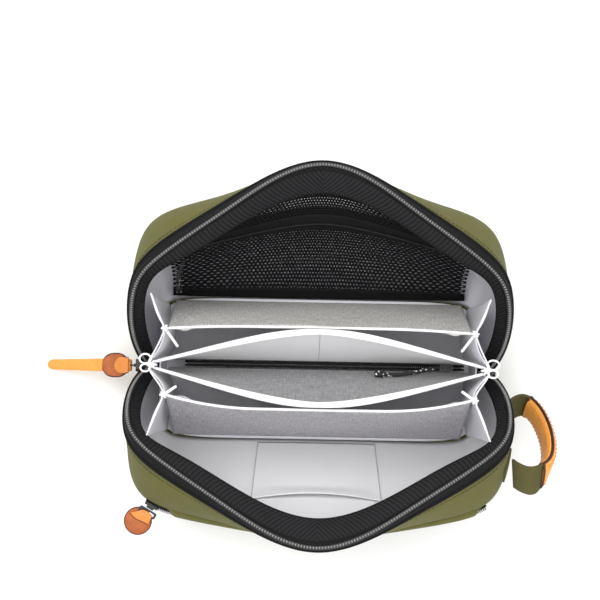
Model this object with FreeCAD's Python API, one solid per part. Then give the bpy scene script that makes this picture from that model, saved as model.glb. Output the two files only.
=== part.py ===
"""Cable organizer pouch, standing open: base, two folding shells, organizer, zips, pulls and handle.

Units are millimetres. X runs along the pouch, Y from front to back, Z up from the floor.
Every fabric layer is a slab between two B-spline surfaces with the same knots, so layers nest.
"""
import FreeCAD, Part
import math
import os

# Driving dimensions
HALF_LENGTH = 113.0          # base outline, outside
HALF_DEPTH = 52.0
HINGE_Z = 4.0                # fold line of each shell along the base edge
CLOSING_ANGLE = 15.0         # how far each shell folds up towards the other
SKIN = 1.2                   # outer canvas
FOAM = 2.5
LINING = 0.7
LAYER_GAP = 0.15
MOUTH_DEPTH = {"front": 122.0, "back": 139.0}
TOP_Z = {"front": 121.0, "back": 114.0}
FLOOR_CLEAR = 1.9            # lowest edge of a shell, above the base panel
CORD_RADIUS = 1.3
SIDE = {"front": -1.0, "back": 1.0}

# Control points of one half of each loop, from the left end to the middle: (x, y, z), y towards the side
BASE_ROW = [(-113, 7, 0), (-113, 18, 0), (-113, 38, 0), (-106, 52, 0), (-58, 52, 0), (0, 52, 0)]
MID_ROW = {
    "front": [(-121, 8, 22), (-126, 26, 34), (-129, 74, 48), (-121, 128, 50), (-66, 122, 57), (0, 110, 64)],
    "back": [(-121, 8, 22), (-126, 28, 34), (-128, 84, 48), (-117, 138, 50), (-66, 137, 54), (0, 127, 60)],
}
RIM_ROW = {
    "front": [(-115, 9, 30), (-121, 17, 60), (-123, 36, 96), (-108, 54, 102), (-58, 84, 112)],
    "back": [(-115, 9, 30), (-121, 19, 60), (-122, 46, 94), (-106, 66, 99), (-58, 97, 106)],
}
INWARD = [(1, 0), (1, 0), (0.95, 0.3), (0.65, 0.76), (0.15, 1), (0, 1)]


def vector(point):
    """A FreeCAD vector from three numbers."""
    return FreeCAD.Vector(*point)


def whole_loop(half):
    """Mirrors a half loop in X, sharing its middle point."""
    return half + [(-x, y, z) for x, y, z in reversed(half[:-1])]


def knots(count, degree):
    """Knots and multiplicities of a clamped uniform spline with this many poles."""
    spans = count - degree
    return list(range(spans + 1)), [degree + 1] + [1] * (spans - 1) + [degree + 1]


def surface(rows, v_degree=2):
    """B-spline surface, cubic along each row and of v_degree across the rows."""
    u_degree = min(3, len(rows[0]) - 1)
    u_knots, u_mults = knots(len(rows[0]), u_degree)
    v_knots, v_mults = knots(len(rows), v_degree)
    poles = [[vector(row[i]) for row in rows] for i in range(len(rows[0]))]
    made = Part.BSplineSurface()
    made.buildFromPolesMultsKnots(poles, u_mults, v_mults, u_knots, v_knots, False, False, u_degree, v_degree)
    return made


def slab(outer, inner):
    """Closed solid between two surfaces that share their parameters."""
    u0, u1, v0, v1 = outer.bounds()
    faces = [outer.toShape(), inner.toShape()]
    for a, b in ((outer.uIso(u0), inner.uIso(u0)), (outer.uIso(u1), inner.uIso(u1))):
        faces.append(Part.makeRuledSurface(a.toShape(), b.toShape()))
    for a, b in ((outer.vIso(v0), inner.vIso(v0)), (outer.vIso(v1), inner.vIso(v1))):
        faces.append(Part.makeRuledSurface(a.toShape(), b.toShape()))
    shell = Part.makeShell(faces)
    shell.sewShape()
    solid = Part.Solid(shell)
    if solid.Volume < 0:
        solid.reverse()
    return solid


def flat_slab(outer, inner, columns, rows):
    """Closed solid of flat triangles between two surfaces, sampled on a grid, for sheets that are nearly flat."""
    u0, u1, v0, v1 = outer.bounds()
    stations = [u0 + (u1 - u0) * i / columns for i in range(columns + 1)]
    levels = [v0 + (v1 - v0) * j / rows for j in range(rows + 1)]
    near, far = ([[sheet.value(u, v) for v in levels] for u in stations] for sheet in (outer, inner))
    faces = []

    def quad(a, b, c, d):
        for corners in ((a, b, c), (a, c, d)):
            faces.append(Part.Face(Part.makePolygon(list(corners) + [corners[0]])))

    for i in range(columns):
        for j in range(rows):
            quad(near[i][j], near[i + 1][j], near[i + 1][j + 1], near[i][j + 1])
            quad(far[i][j + 1], far[i + 1][j + 1], far[i + 1][j], far[i][j])
        quad(far[i][0], far[i + 1][0], near[i + 1][0], near[i][0])
        quad(near[i][rows], near[i + 1][rows], far[i + 1][rows], far[i][rows])
    for j in range(rows):
        quad(near[0][j], near[0][j + 1], far[0][j + 1], far[0][j])
        quad(far[columns][j], far[columns][j + 1], near[columns][j + 1], near[columns][j])
    shell = Part.makeShell(faces)
    shell.sewShape()
    solid = Part.Solid(shell)
    if solid.Volume < 0:
        solid.reverse()
    return solid


def rim_row(side):
    """Rim loop of one shell: the stored points and its middle one."""
    return RIM_ROW[side] + [(0, MOUTH_DEPTH[side], TOP_Z[side])]


def inset(half, side, depth):
    """A half loop moved inwards by depth, put on its side of the pouch and mirrored whole."""
    sign = SIDE[side]
    moved = [(x + depth * nx, sign * (y - depth * ny), z) for (x, y, z), (nx, ny) in zip(half, INWARD)]
    return whole_loop(moved)


def fold_clearance(row):
    """Lifts the lower edge where the fold would push it through the base as the shell closes."""
    slope = math.tan(math.radians(CLOSING_ANGLE + 0.5))
    return [(x, y, FLOOR_CLEAR + slope * (HALF_DEPTH - abs(y))) for x, y, z in row]


def shell_rows(side, depth, low=0.0, high=1.0):
    """Three control rows of the shell surface at a depth, cut to the share of height from low to high."""
    base = fold_clearance(inset(BASE_ROW, side, depth))
    mid = inset(MID_ROW[side], side, depth)
    rim = inset(rim_row(side), side, depth)

    def blossom(s, t):
        weights = ((1 - s) * (1 - t), (1 - s) * t + s * (1 - t), s * t)
        return [tuple(sum(w * p[k] for w, p in zip(weights, points)) for k in range(3))
                for points in zip(base, mid, rim)]

    return [blossom(low, low), blossom(low, high), blossom(high, high)]


def shell_layer(side, depth, thickness, low=0.0, high=1.0, u_from=0.0, u_to=8.0):
    """A fabric layer of a shell, or the part of it between two places along the loop."""
    outer = surface(shell_rows(side, depth, low, high))
    inner = surface(shell_rows(side, depth + thickness, low, high))
    for one in (outer, inner):
        if (u_from, u_to) != (0.0, 8.0):
            one.segment(u_from, u_to, 0.0, 1.0)
    return slab(outer, inner)


def raised(row, dz):
    """A row of points moved up."""
    return [(x, y, z + dz) for x, y, z in row]


def tube(route, radius):
    """Round cord along straight runs joined by arcs tangent to them; returns the solid, length and radii."""
    points = [vector(p) for p in route]
    edges, radii, start = [], [], points[0]
    for before, corner, after in zip(points, points[1:], points[2:]):
        back = (before - corner)
        ahead = (after - corner)
        run = 0.45 * min(back.Length, ahead.Length)
        back.normalize()
        ahead.normalize()
        turn = math.pi - back.getAngle(ahead)
        radii.append(run / math.tan(turn / 2))
        first = corner + back * run
        last = corner + ahead * run
        middle_way = (back + ahead).normalize()
        reach = math.hypot(run, radii[-1]) - radii[-1]
        edges.append(Part.LineSegment(start, first).toShape())
        edges.append(Part.Arc(first, corner + middle_way * reach, last).toShape())
        start = last
    edges.append(Part.LineSegment(start, points[-1]).toShape())
    wire = Part.Wire(edges)
    way = (points[1] - points[0]).normalize()
    ring = Part.Wire([Part.Circle(points[0], way, radius).toShape()])
    solid = wire.makePipeShell([ring], True, True, 1)
    return solid, wire.Length, radii


def box(low, high):
    """Upright block between two corners."""
    size = [b - a for a, b in zip(low, high)]
    return Part.makeBox(*size, vector(low))


def rounded_block(low, high, radius, axis):
    """Block with its four edges along one axis rounded."""
    block = box(low, high)
    way = vector(axis)
    edges = [e for e in block.Edges if abs((e.Vertexes[1].Point - e.Vertexes[0].Point).normalize().dot(way)) > 0.99]
    return block.makeFillet(radius, edges)


def tipped(shape, centre, axis, degrees):
    """A shape turned about an axis through a point."""
    turned = shape.copy()
    turned.rotate(vector(centre), vector(axis), degrees)
    return turned


# Base: canvas bottom, stiffener board and lining

def outline_plate(shrink, low, high):
    """Flat plate with the outline of the base, smaller by shrink."""
    edges = []
    for side in ("front", "back"):
        half = [(x, y if y > 10 else 0, z) for x, y, z in BASE_ROW]
        loop = inset(half, side, shrink)
        curve = Part.BSplineCurve()
        u_knots, u_mults = knots(len(loop), 3)
        curve.buildFromPolesMultsKnots([vector((x, y, low)) for x, y, z in loop], u_mults, u_knots, False, 3)
        edges.append(curve.toShape())
    return Part.Face(Part.Wire(Part.__sortEdges__(edges))).extrude(vector((0, 0, high - low)))


def base_panel():
    return outline_plate(0.0, 0.0, 1.2)


def base_board():
    return outline_plate(8.0, 1.3, 3.4)


def base_lining():
    return outline_plate(8.0, 3.5, 4.2)


def end_web(sign):
    """Lining strip that joins the two shells across one end, below the zip's end."""
    outer = [[(sign * 104.5, y, 4.6) for y in (-34, -12, 12, 34)], [(sign * 106.5, y, z) for y, z in
             ((-9, 28), (-4, 29), (4, 29), (9, 28))]]
    inner = [[(x - sign * 1.2, y, z) for x, y, z in row] for row in outer]
    return slab(surface(outer, 1), surface(inner, 1))


def zip_end_stop(sign):
    """Moulded stop at the lower end of the main zip."""
    return rounded_block((min(sign * 116, sign * 119), -3.5, 20), (max(sign * 116, sign * 119), 3.5, 26), 1.0, (1, 0, 0))


# Organizer: two padded dividers, two pocket walls, their bound edges, gussets and knots

DIVIDERS = {
    # name: half-length low and high, y at base and at top middle, y at top end, top z
    "back": (98, 95, 46.0, 25.5, 23.5, 86.0),
    "front": (98, 95, -46.0, -27.5, -20.0, 86.0),
}
DIVIDER_THICK = 1.6


def divider_rows(side, offset, low=0.0, high=1.0):
    """Two control rows of a divider: its foot and its top edge, between two shares of its height."""
    half_low, half_high, y_base, y_top, y_end, z_top = DIVIDERS[side]
    foot = [(s * half_low, y_base + offset, 5.0) for s in (-1, -0.7, -0.3, 0, 0.3, 0.7, 1)]
    head = [(s * half_high, y + offset, z_top) for s, y in
            zip((-1, -0.7, -0.3, 0, 0.3, 0.7, 1), (y_end, y_top, y_top, y_top, y_top, y_top, y_end))]

    def at(v):
        return [tuple(a + v * (b - a) for a, b in zip(p, q)) for p, q in zip(foot, head)]

    return [at(low), at(high)]


def divider(side):
    sign = SIDE[side]
    return flat_slab(surface(divider_rows(side, 0.0, 0.0, 0.965), 1),
                     surface(divider_rows(side, -sign * DIVIDER_THICK, 0.0, 0.965), 1), 16, 4)


def divider_binding(side):
    """Folded white tape over the top edge of a divider."""
    sign = SIDE[side]
    return flat_slab(surface(divider_rows(side, 0.3 * sign, 0.97, 1.0), 1),
                     surface(divider_rows(side, -sign * (DIVIDER_THICK + 0.3), 0.97, 1.0), 1), 16, 1)


LIP = {
    # half of each lip: control points of the top edge (x, y, z) from the left end to the middle
    "back": [(-106, 1.2, 68), (-78, 8, 78), (-36, 18.5, 88), (0, 23, 90)],
    "front": [(-106, -1.2, 68), (-78, -9, 78), (-36, -20, 88), (0, -24.5, 90)],
}
BELLY = {"back": 9.0, "front": -8.0}
THROAT = {"back": 4.8, "front": -0.8}
POCKET_WALL = 0.9
ZIP_Z = 40.0


def pocket_rows(side, offset, top_share=0.93):
    """Rows of a pocket wall: foot, zip line, belly and top edge."""
    lip = whole_loop(LIP[side])
    x_of = [p[0] * 0.93 for p in lip]
    foot = [(x, THROAT[side] + offset, 5.0) for x in x_of]
    throat = [(x, THROAT[side] + offset, ZIP_Z) for x in x_of]
    belly = [(x, BELLY[side] * (1 if abs(x) < 80 else 0.75) + offset, 55.0) for x in x_of]
    top = [tuple(b + top_share * (t - b) for b, t in zip(q, (p[0], p[1] + offset, p[2])))
           for p, q in zip(lip, belly)]
    return [foot, throat, belly, top]


def pocket_wall(side):
    sign = SIDE[side]
    return flat_slab(surface(pocket_rows(side, 0.0), 1), surface(pocket_rows(side, sign * POCKET_WALL), 1), 16, 9)


def lip_binding(side):
    """Wide white tape along the mouth of the centre pocket."""
    sign = SIDE[side]
    rows = []
    for offset in (-0.3 * sign, (POCKET_WALL + 0.3) * sign):
        inner_top = pocket_rows(side, offset, 0.94)[3]
        outer_top = pocket_rows(side, offset, 1.0)[3]
        rows.append(surface([inner_top, outer_top], 1))
    return flat_slab(rows[0], rows[1], 16, 1)


def centre_pocket_floor():
    return box((-92, -0.6, 4.4), (92, 4.6, 4.9))


def centre_zip_tape():
    """Two tapes along the bottom of the centre pocket's mouth."""
    tapes = [box((-88, -0.4, ZIP_Z - 0.8), (96, 1.2, ZIP_Z)), box((-88, 2.8, ZIP_Z - 0.8), (96, 4.4, ZIP_Z))]
    return Part.makeCompound(tapes)


def centre_zip_coil():
    return box((-86, 1.25, ZIP_Z - 1.0), (94, 2.75, ZIP_Z + 0.4))


def gussets(sign):
    """Folded end panels that tie the dividers to the end of the pouch and to the knots in the middle."""
    solids = []
    for side in ("back", "front"):
        y_knot = DIVIDERS[side][4]
        way = SIDE[side]
        knot = (sign * 97, y_knot, 84)
        wall = (sign * 103, way * 40, 82)
        middle = (sign * 107, way * 4.5, 68)
        for top_a, top_b, foot_b in ((knot, wall, (sign * 102, way * 42, 6)), (knot, middle, (sign * 100.5, way * 5, 6))):
            foot_a = (sign * 99.4, way * (36 if top_b is wall else 30), 6)
            start = tuple(a + 0.06 * (b - a) for a, b in zip(top_a, top_b))
            outer = [[foot_a, foot_b], [start, top_b]]
            inner = [[(x - sign * 0.6, y, z) for x, y, z in row] for row in outer]
            solids.append(slab(surface(outer, 1), surface(inner, 1)))
    return Part.makeCompound(solids)


def knots_at(sign):
    """Tied ends of the white tapes: one ball at each divider's corner and one in the middle."""
    places = [(sign * 97.5, DIVIDERS["back"][4] - 0.8, 87.5, 2.2), (sign * 97.5, DIVIDERS["front"][4] + 0.8, 87.5, 2.2),
              (sign * 110.5, 0, 69, 4.0)]
    return Part.makeCompound([Part.makeSphere(r, vector((x, y, z))) for x, y, z, r in places])


# Zip sliders and pulls

def slider_body(centre, along):
    """Wedge-shaped slider with a bridge, its length along one axis."""
    x, y, z = centre
    if along == "x":
        body = rounded_block((x - 4.5, y - 2.2, z), (x + 4.5, y + 2.2, z + 1.6), 1.5, (0, 0, 1))
        bridge = rounded_block((x - 2.5, y - 0.8, z + 1.5), (x + 2.5, y + 0.8, z + 3.2), 0.7, (0, 1, 0))
    else:
        body = rounded_block((x - 1.4, y - 4.2, z - 5), (x + 1.4, y + 4.2, z + 5), 2.0, (1, 0, 0))
        bridge = rounded_block((x - 3.0, y - 1.1, z - 3), (x - 1.3, y + 1.1, z + 3), 0.8, (0, 1, 0))
    return body.fuse(bridge).removeSplitter()


SLIDER = (-119.4, 0.0, 33.0)
PULL_PIVOT = (-124.2, 0.0, 29.5)
STRIP_SLOPE = 22.0


def main_slider():
    return slider_body(SLIDER, "z")


def main_bail():
    """Wire ring through the slider's bridge and the leather."""
    ring = Part.makeTorus(1.6, 0.45, vector((PULL_PIVOT[0] - 0.2, 0, PULL_PIVOT[2])), vector((0, 1, 0)))
    return ring


def leather_oval():
    """Suede backing of the main pull, hanging outwards from the ring."""
    x0, z0 = PULL_PIVOT[0], PULL_PIVOT[2]
    length, width, thick = 19.5, 15.4, 1.5
    flat = rounded_block((x0 - 2.5 - length, -width / 2, z0), (x0 - 2.5, width / 2, z0 + thick), 7.4, (0, 0, 1))
    return tipped(flat, PULL_PIVOT, (0, 1, 0), -STRIP_SLOPE)


def leather_strip():
    """Long smooth leather tail with a rounded free end, sewn under the oval."""
    x0, z0 = PULL_PIVOT[0], PULL_PIVOT[2]
    length, width, thick = 61.0, 8.2, 1.6
    flat = rounded_block((x0 - 5.0 - length, -width / 2, z0 - thick), (x0 - 5.0, width / 2, z0 - 0.05), 3.9, (0, 0, 1))
    return tipped(flat, PULL_PIVOT, (0, 1, 0), -STRIP_SLOPE)


POCKET_SLIDER = (-105.5, -90.3, 62.6)
POCKET_TURN = -30.0          # the pocket zip turns round the corner here, in degrees about Z
TAB_RADIUS = 8.6


def turned(shape):
    """A part of the pocket zip's pull, drawn facing the front, turned to face its corner."""
    return tipped(shape, POCKET_SLIDER, (0, 0, 1), POCKET_TURN)


def outer_pocket_slider():
    x, y, z = POCKET_SLIDER
    body = rounded_block((x - 4.5, y, z - 3.2), (x + 4.5, y + 1.8, z + 3.2), 1.5, (0, 1, 0))
    bridge = rounded_block((x - 2.5, y - 1.7, z - 1.0), (x + 2.5, y + 0.1, z + 1.0), 0.7, (0, 0, 1))
    return turned(body.fuse(bridge).removeSplitter())


def outer_pocket_bail():
    """Flat rectangular loop between the pocket slider and its leather tab."""
    x, y, z = POCKET_SLIDER
    frame = rounded_block((x - 6, y - 6.4, z - 0.6), (x + 6, y - 2.2, z + 0.6), 1.2, (0, 0, 1))
    hole = rounded_block((x - 4.6, y - 5.2, z - 1), (x + 4.6, y - 3.4, z + 1), 0.8, (0, 0, 1))
    return turned(frame.cut(hole))


def round_tab():
    """Round leather tab of the outer pocket, lying under its loop."""
    x, y, z = POCKET_SLIDER
    disc = Part.makeCylinder(TAB_RADIUS, 2.0, vector((x - 2.5, y - 3.6 - TAB_RADIUS, z - 2.65)))
    return turned(disc)


MESH_ROWS = {
    # control points of one half of the mesh pocket: foot, belly, zip line, top edge
    "foot": [(-100, 50.5, 7), (-66, 50.5, 7), (-33, 50.5, 7), (0, 50.5, 7)],
    "belly": [(-98, 68, 30), (-66, 75, 32), (-33, 80, 34), (0, 80, 34)],
    "zip": [(-94, 74.5, 55), (-62, 81.5, 59.5), (-31, 89, 64), (0, 93.5, 66)],
    "top": [(-58, 92, 84), (-40, 97, 88), (-20, 103, 92), (0, 104, 93)],
}
MESH_SLIDER = (-87.5, 73.4, 57.2)


def mesh_rows(names, offset):
    """Whole rows of the mesh pocket, moved towards the middle of the pouch by offset."""
    return [whole_loop([(x, y - offset, z) for x, y, z in MESH_ROWS[name]]) for name in names]


def between(low, high, share):
    """Row of points part of the way from one row to another."""
    return [tuple(a + share * (b - a) for a, b in zip(p, q)) for p, q in zip(low, high)]


def mesh_strip(low_name, high_name, low, high, offset, thickness):
    """Band of the mesh wall between two shares of the way from one row to another."""
    sheets = []
    for move in (offset, offset + thickness):
        foot, head = mesh_rows((low_name, high_name), move)
        sheets.append(surface([between(foot, head, low), between(foot, head, high)], 1))
    return flat_slab(sheets[1], sheets[0], 16, 1)


def mesh_pocket_panel():
    """Lower mesh, a bellied sheet from the base to the pocket's zip."""
    sheets = []
    for move in (0.6, 0.0):
        foot, belly, zip_line = mesh_rows(("foot", "belly", "zip"), move)
        sheets.append(surface([foot, belly, raised(zip_line, -1.6)], 2))
    return flat_slab(sheets[0], sheets[1], 16, 6)


def mesh_slider():
    x, y, z = MESH_SLIDER
    block = rounded_block((x - 4, y - 1.2, z - 2), (x + 4, y + 0.4, z + 2), 1.2, (0, 1, 0))
    return tipped(tipped(block, MESH_SLIDER, (0, 1, 0), -9), MESH_SLIDER, (0, 0, 1), 20)


MESH_CORD = [(-89.5, 68.6, 52.4), (-91.0, 66.2, 46.6), (-92.8, 62.2, 40.8), (-94.2, 57.8, 35.2), (-95.0, 54.6, 29.0),
             (-95.2, 53.2, 22.5)]
CENTRE_SLIDER = (84.0, 2.0, ZIP_Z + 0.7)
CENTRE_CORD = [(78.4, 2.0, 44.2), (73.0, 1.2, 46.0), (66.0, -0.6, 48.0), (58.0, -2.4, 49.4), (50.0, -3.4, 50.2),
               (43.0, -3.0, 50.6)]


def cord(route):
    return tube(route, CORD_RADIUS)[0]


def cord_knot(route, radius=2.4):
    """Moulded end on a cord, face to face with it."""
    end, before = vector(route[-1]), vector(route[-2])
    way = (end - before).normalize()
    body = Part.makeCylinder(radius, 7.0, end, way)
    rims = [e for e in body.Edges if e.Closed]
    return body.makeFillet(0.9, rims)


# Handle on the right end of the front shell

HANDLE_LINE = [(125.0, -27.0, 36.5), (133, -20, 32), (141.5, -21.5, 37), (148, -37, 51), (149, -52, 64), (142, -66.5, 77),
               (132, -70.5, 80.5), (123.3, -64, 74.5)]
HANDLE_ACROSS = (0.0, 0.70, 0.714)


def handle_band(half_width, half_thick, u_from, u_to):
    """Flat strap that follows the handle's line between two places along it."""
    across = vector(HANDLE_ACROSS)
    points = [vector(p) for p in HANDLE_LINE]
    normals = []
    for i in range(len(points)):
        tangent = (points[min(i + 1, len(points) - 1)] - points[max(i - 1, 0)]).normalize()
        normals.append(tangent.cross(across).normalize())
    sheets = []
    for face in (-1, 1):
        rows = [[tuple(p + n * (face * half_thick) + across * (edge * half_width)) for p, n in zip(points, normals)]
                for edge in (-1, 1)]
        one = surface(rows, 1)
        one.segment(u_from, u_to, 0.0, 1.0)
        sheets.append(one)
    return slab(sheets[0], sheets[1])


def handle_webbing():
    return handle_band(9.5, 0.9, 0.0, 5.0)


def handle_grip():
    """Leather folded over the middle of the webbing, as an upper and an under layer."""
    return Part.makeCompound([grip_layer(1.0, 3.6), grip_layer(-3.6, -1.0)])


def grip_layer(low, high):
    across = vector(HANDLE_ACROSS)
    points = [vector(p) for p in HANDLE_LINE]
    sheets = []
    for lift in (low, high):
        rows = []
        for edge in (-1, 1):
            row = []
            for i, p in enumerate(points):
                tangent = (points[min(i + 1, 7)] - points[max(i - 1, 0)]).normalize()
                row.append(tuple(p + tangent.cross(across).normalize() * lift + across * (edge * 8.0)))
            rows.append(row)
        one = surface(rows, 1)
        one.segment(1.0, 4.2, 0.0, 1.0)
        sheets.append(one)
    return slab(sheets[0], sheets[1])


def handle_anchors():
    """Sewn-down ends of the handle webbing on the shell's end wall."""
    low = shell_layer("front", -0.75, 0.6, 0.40, 0.60, 7.15, 7.6)
    high = shell_layer("front", -0.75, 0.6, 0.64, 0.80, 6.5, 6.9)
    return Part.makeCompound([low, high])


def shells():
    """Every layer that the two shells have in common."""
    made = {}
    for side in ("front", "back"):
        depth = 0.0
        made[side + "_outer_panel"] = shell_layer(side, depth, SKIN, 0.0, 0.965)
        depth += SKIN + LAYER_GAP
        made[side + "_foam"] = shell_layer(side, depth, FOAM, 0.0, 0.965)
        depth += FOAM + LAYER_GAP
        made[side + "_lining"] = shell_layer(side, depth, LINING, 0.02, 0.85)
        made[side + "_zip_facing"] = shell_layer(side, depth, LINING, 0.853, 0.975)
        made[side + "_zip_tape"] = shell_layer(side, 0.6, 2.2, 0.968, 0.985)
        made[side + "_zip_teeth"] = shell_layer(side, 0.2, 3.0, 0.9865, 1.0)
    return made


def front_shell_parts():
    depth = SKIN + FOAM + LINING + 3 * LAYER_GAP
    made = {
        "front_slip_pocket": shell_layer("front", depth, 0.6, 0.03, 0.42, 3.1, 4.9),
        "outer_pocket_bag": shell_layer("front", -0.7, 0.6, 0.10, 0.58, 2.2, 5.8),
        "outer_pocket_zip_tape": shell_layer("front", -1.1, 1.0, 0.585, 0.63, 2.0, 6.0),
        "outer_pocket_zip_coil": shell_layer("front", -2.0, 0.8, 0.602, 0.614, 2.05, 5.95),
        "outer_pocket_slider": outer_pocket_slider(),
        "outer_pocket_bail": outer_pocket_bail(),
        "outer_pocket_tab": round_tab(),
        "handle_webbing": handle_webbing(),
        "handle_grip": handle_grip(),
        "handle_anchors": handle_anchors(),
    }
    return made


def back_shell_parts():
    return {
        "mesh_pocket_panel": mesh_pocket_panel(),
        "mesh_zip_tape": mesh_strip("zip", "top", 0.0, 0.20, 0.0, 0.8),
        "mesh_zip_coil": mesh_strip("zip", "top", 0.08, 0.12, 0.9, 0.8),
        "mesh_upper_panel": mesh_strip("zip", "top", 0.22, 1.0, 0.0, 0.6),
        "mesh_slider": mesh_slider(),
        "mesh_pull_cord": cord(MESH_CORD),
        "mesh_pull_knot": cord_knot(MESH_CORD),
    }


def organizer_parts():
    made = {
        "base_panel": base_panel(),
        "base_board": base_board(),
        "base_lining": base_lining(),
        "end_webs": Part.makeCompound([end_web(-1), end_web(1)]),
        "zip_end_stops": Part.makeCompound([zip_end_stop(-1), zip_end_stop(1)]),
        "centre_pocket_floor": centre_pocket_floor(),
        "centre_zip_tape": centre_zip_tape(),
        "centre_zip_coil": centre_zip_coil(),
        "centre_slider": slider_body(CENTRE_SLIDER, "x"),
        "centre_pull_cord": cord(CENTRE_CORD),
        "centre_pull_knot": cord_knot(CENTRE_CORD),
        "gussets_left": gussets(-1),
        "gussets_right": gussets(1),
        "tape_knots_left": knots_at(-1),
        "tape_knots_right": knots_at(1),
        "main_slider": main_slider(),
        "main_bail": main_bail(),
        "leather_oval": leather_oval(),
        "leather_strip": leather_strip(),
    }
    for side in ("front", "back"):
        made[side + "_divider"] = divider(side)
        made[side + "_divider_binding"] = divider_binding(side)
        made[side + "_pocket_wall"] = pocket_wall(side)
        made[side + "_lip_binding"] = lip_binding(side)
    return made


def report_cords():
    """Prints each cord's length, its volume against section times length, and its radii."""
    for name, route in (("mesh_pull_cord", MESH_CORD), ("centre_pull_cord", CENTRE_CORD)):
        solid, length, radii = tube(route, CORD_RADIUS)
        ideal = math.pi * CORD_RADIUS ** 2 * length
        print(name, "length", round(length, 1), "volume share", round(solid.Volume / ideal, 4),
              "radii", [round(r, 1) for r in radii])


def main():
    os.makedirs("parts", exist_ok=True)
    nodes = {}
    for group in (organizer_parts(), shells(), front_shell_parts(), back_shell_parts()):
        nodes.update(group)
    for name, shape in nodes.items():
        if not shape.isValid() or shape.Volume <= 0:
            print("check", name, shape.isValid(), shape.Volume)
        shape.exportStep("parts/" + name + ".step")
    report_cords()
    print(len(nodes), "nodes")


main()
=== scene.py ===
"""Looks of a cable organizer pouch that stands open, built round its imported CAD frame.

Lengths inside the classes are millimetres; meshes are written in metres. X runs along the pouch,
Y from front to back, Z up. Fabric shapes repeat the spline control points of the CAD source.
"""

import logging
import math
from dataclasses import dataclass
from enum import Enum

import bpy
from mathutils import Matrix, Vector
import numpy as np


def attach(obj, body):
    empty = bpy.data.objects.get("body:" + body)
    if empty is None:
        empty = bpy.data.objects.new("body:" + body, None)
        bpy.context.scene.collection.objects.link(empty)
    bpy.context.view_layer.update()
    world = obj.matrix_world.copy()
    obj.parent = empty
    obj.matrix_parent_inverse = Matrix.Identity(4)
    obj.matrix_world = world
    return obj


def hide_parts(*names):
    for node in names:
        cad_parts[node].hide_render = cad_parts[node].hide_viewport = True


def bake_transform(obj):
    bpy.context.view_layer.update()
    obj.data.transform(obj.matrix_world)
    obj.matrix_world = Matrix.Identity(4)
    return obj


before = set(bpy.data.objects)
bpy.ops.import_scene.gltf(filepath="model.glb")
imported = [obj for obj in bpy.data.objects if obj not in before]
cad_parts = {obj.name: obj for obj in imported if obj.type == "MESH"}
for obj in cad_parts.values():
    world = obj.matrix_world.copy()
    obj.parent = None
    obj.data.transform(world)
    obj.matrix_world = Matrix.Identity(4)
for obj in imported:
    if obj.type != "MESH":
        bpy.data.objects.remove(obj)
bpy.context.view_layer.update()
MM = 0.001
UV_UNIT = 0.1                # one unit of a piece's UV map is 10 mm
LOG = logging.getLogger("pouch")
UP = np.array([0.0, 0.0, 1.0])
Array = np.ndarray
# Start and end planes of the fold between the base and the shells; Shell.bend turns them into metres but moves
# no fabric by them
FOLD_START = (0.0, 12.5, 21.75)
FOLD_END = (0.0, 37.5, 65.25)


class Side(Enum):
    """The two halves of the pouch; the value is the sign of Y."""

    FRONT = -1
    BACK = 1

    @property
    def word(self) -> str:
        """Name of the half in node and body names."""
        return self.name.lower()


class Weave(Enum):
    """Thread patterns that a fabric finish can have."""

    PLAIN = "plain"
    HERRINGBONE = "herringbone"
    MELANGE = "melange"
    RIB = "rib"
    SMOOTH = "smooth"


# Splines and grids

def basis(count: int, degree: int, at: Array) -> Array:
    """Weights of a clamped uniform B-spline by the Cox-de Boor recursion.

    Args:
        count: number of control points.
        degree: degree of the spline.
        at: places along the spline, from 0 to 1.

    Returns:
        Array of len(at) rows and count columns.
    """
    spans = count - degree
    knots = np.concatenate([np.zeros(degree), np.arange(spans + 1), np.full(degree, spans)]) / spans
    t = np.clip(np.asarray(at, float), 0, 1 - 1e-9)[:, None]
    weight = ((t >= knots[:-1]) & (t < knots[1:])).astype(float)
    for k in range(1, degree + 1):
        left_span = knots[k:-1] - knots[:-k - 1]
        right_span = knots[k + 1:] - knots[1:-k]
        left = np.where(left_span > 0, (t - knots[:-k - 1]) / np.where(left_span > 0, left_span, 1), 0)
        right = np.where(right_span > 0, (knots[k + 1:] - t) / np.where(right_span > 0, right_span, 1), 0)
        weight = left * weight[:, :-1] + right * weight[:, 1:]
    return weight


def spline(points: list, at: Array, degree: int = 3) -> Array:
    """Points of a clamped B-spline: control points times their weights."""
    control = np.array(points, float)
    return basis(len(control), min(degree, len(control) - 1), at) @ control


def whole_loop(half: list) -> list:
    """Mirrors half a loop in X, sharing its middle point."""
    return list(half) + [(-x, y, z) for x, y, z in reversed(half[:-1])]


def flip_y(points: list, sign: float) -> list:
    """Points with Y multiplied by a sign."""
    return [(x, sign * y, z) for x, y, z in points]


def smooth_step(low: float, high: float, value: Array) -> Array:
    """Cubic step: 0 below low, 1 above high, 3t^2 - 2t^3 between them."""
    t = np.clip((value - low) / (high - low), 0, 1)
    return t * t * (3 - 2 * t)


def arc_lengths(path: Array) -> Array:
    """Distance along a path to each of its points: the running sum of its steps."""
    return np.concatenate([[0], np.cumsum(np.linalg.norm(np.diff(path, axis=0), axis=1))])


def even_path(path: Array, step: float) -> Array:
    """Points at equal distances along a path, by linear interpolation over its arc length."""
    length = arc_lengths(path)
    count = max(2, int(round(length[-1] / step)) + 1)
    at = np.linspace(0, length[-1], count)
    return np.stack([np.interp(at, length, path[:, k]) for k in range(3)], 1)


def unit(vectors: Array) -> Array:
    """Vectors scaled to length 1."""
    return vectors / np.maximum(np.linalg.norm(vectors, axis=-1, keepdims=True), 1e-9)


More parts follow.
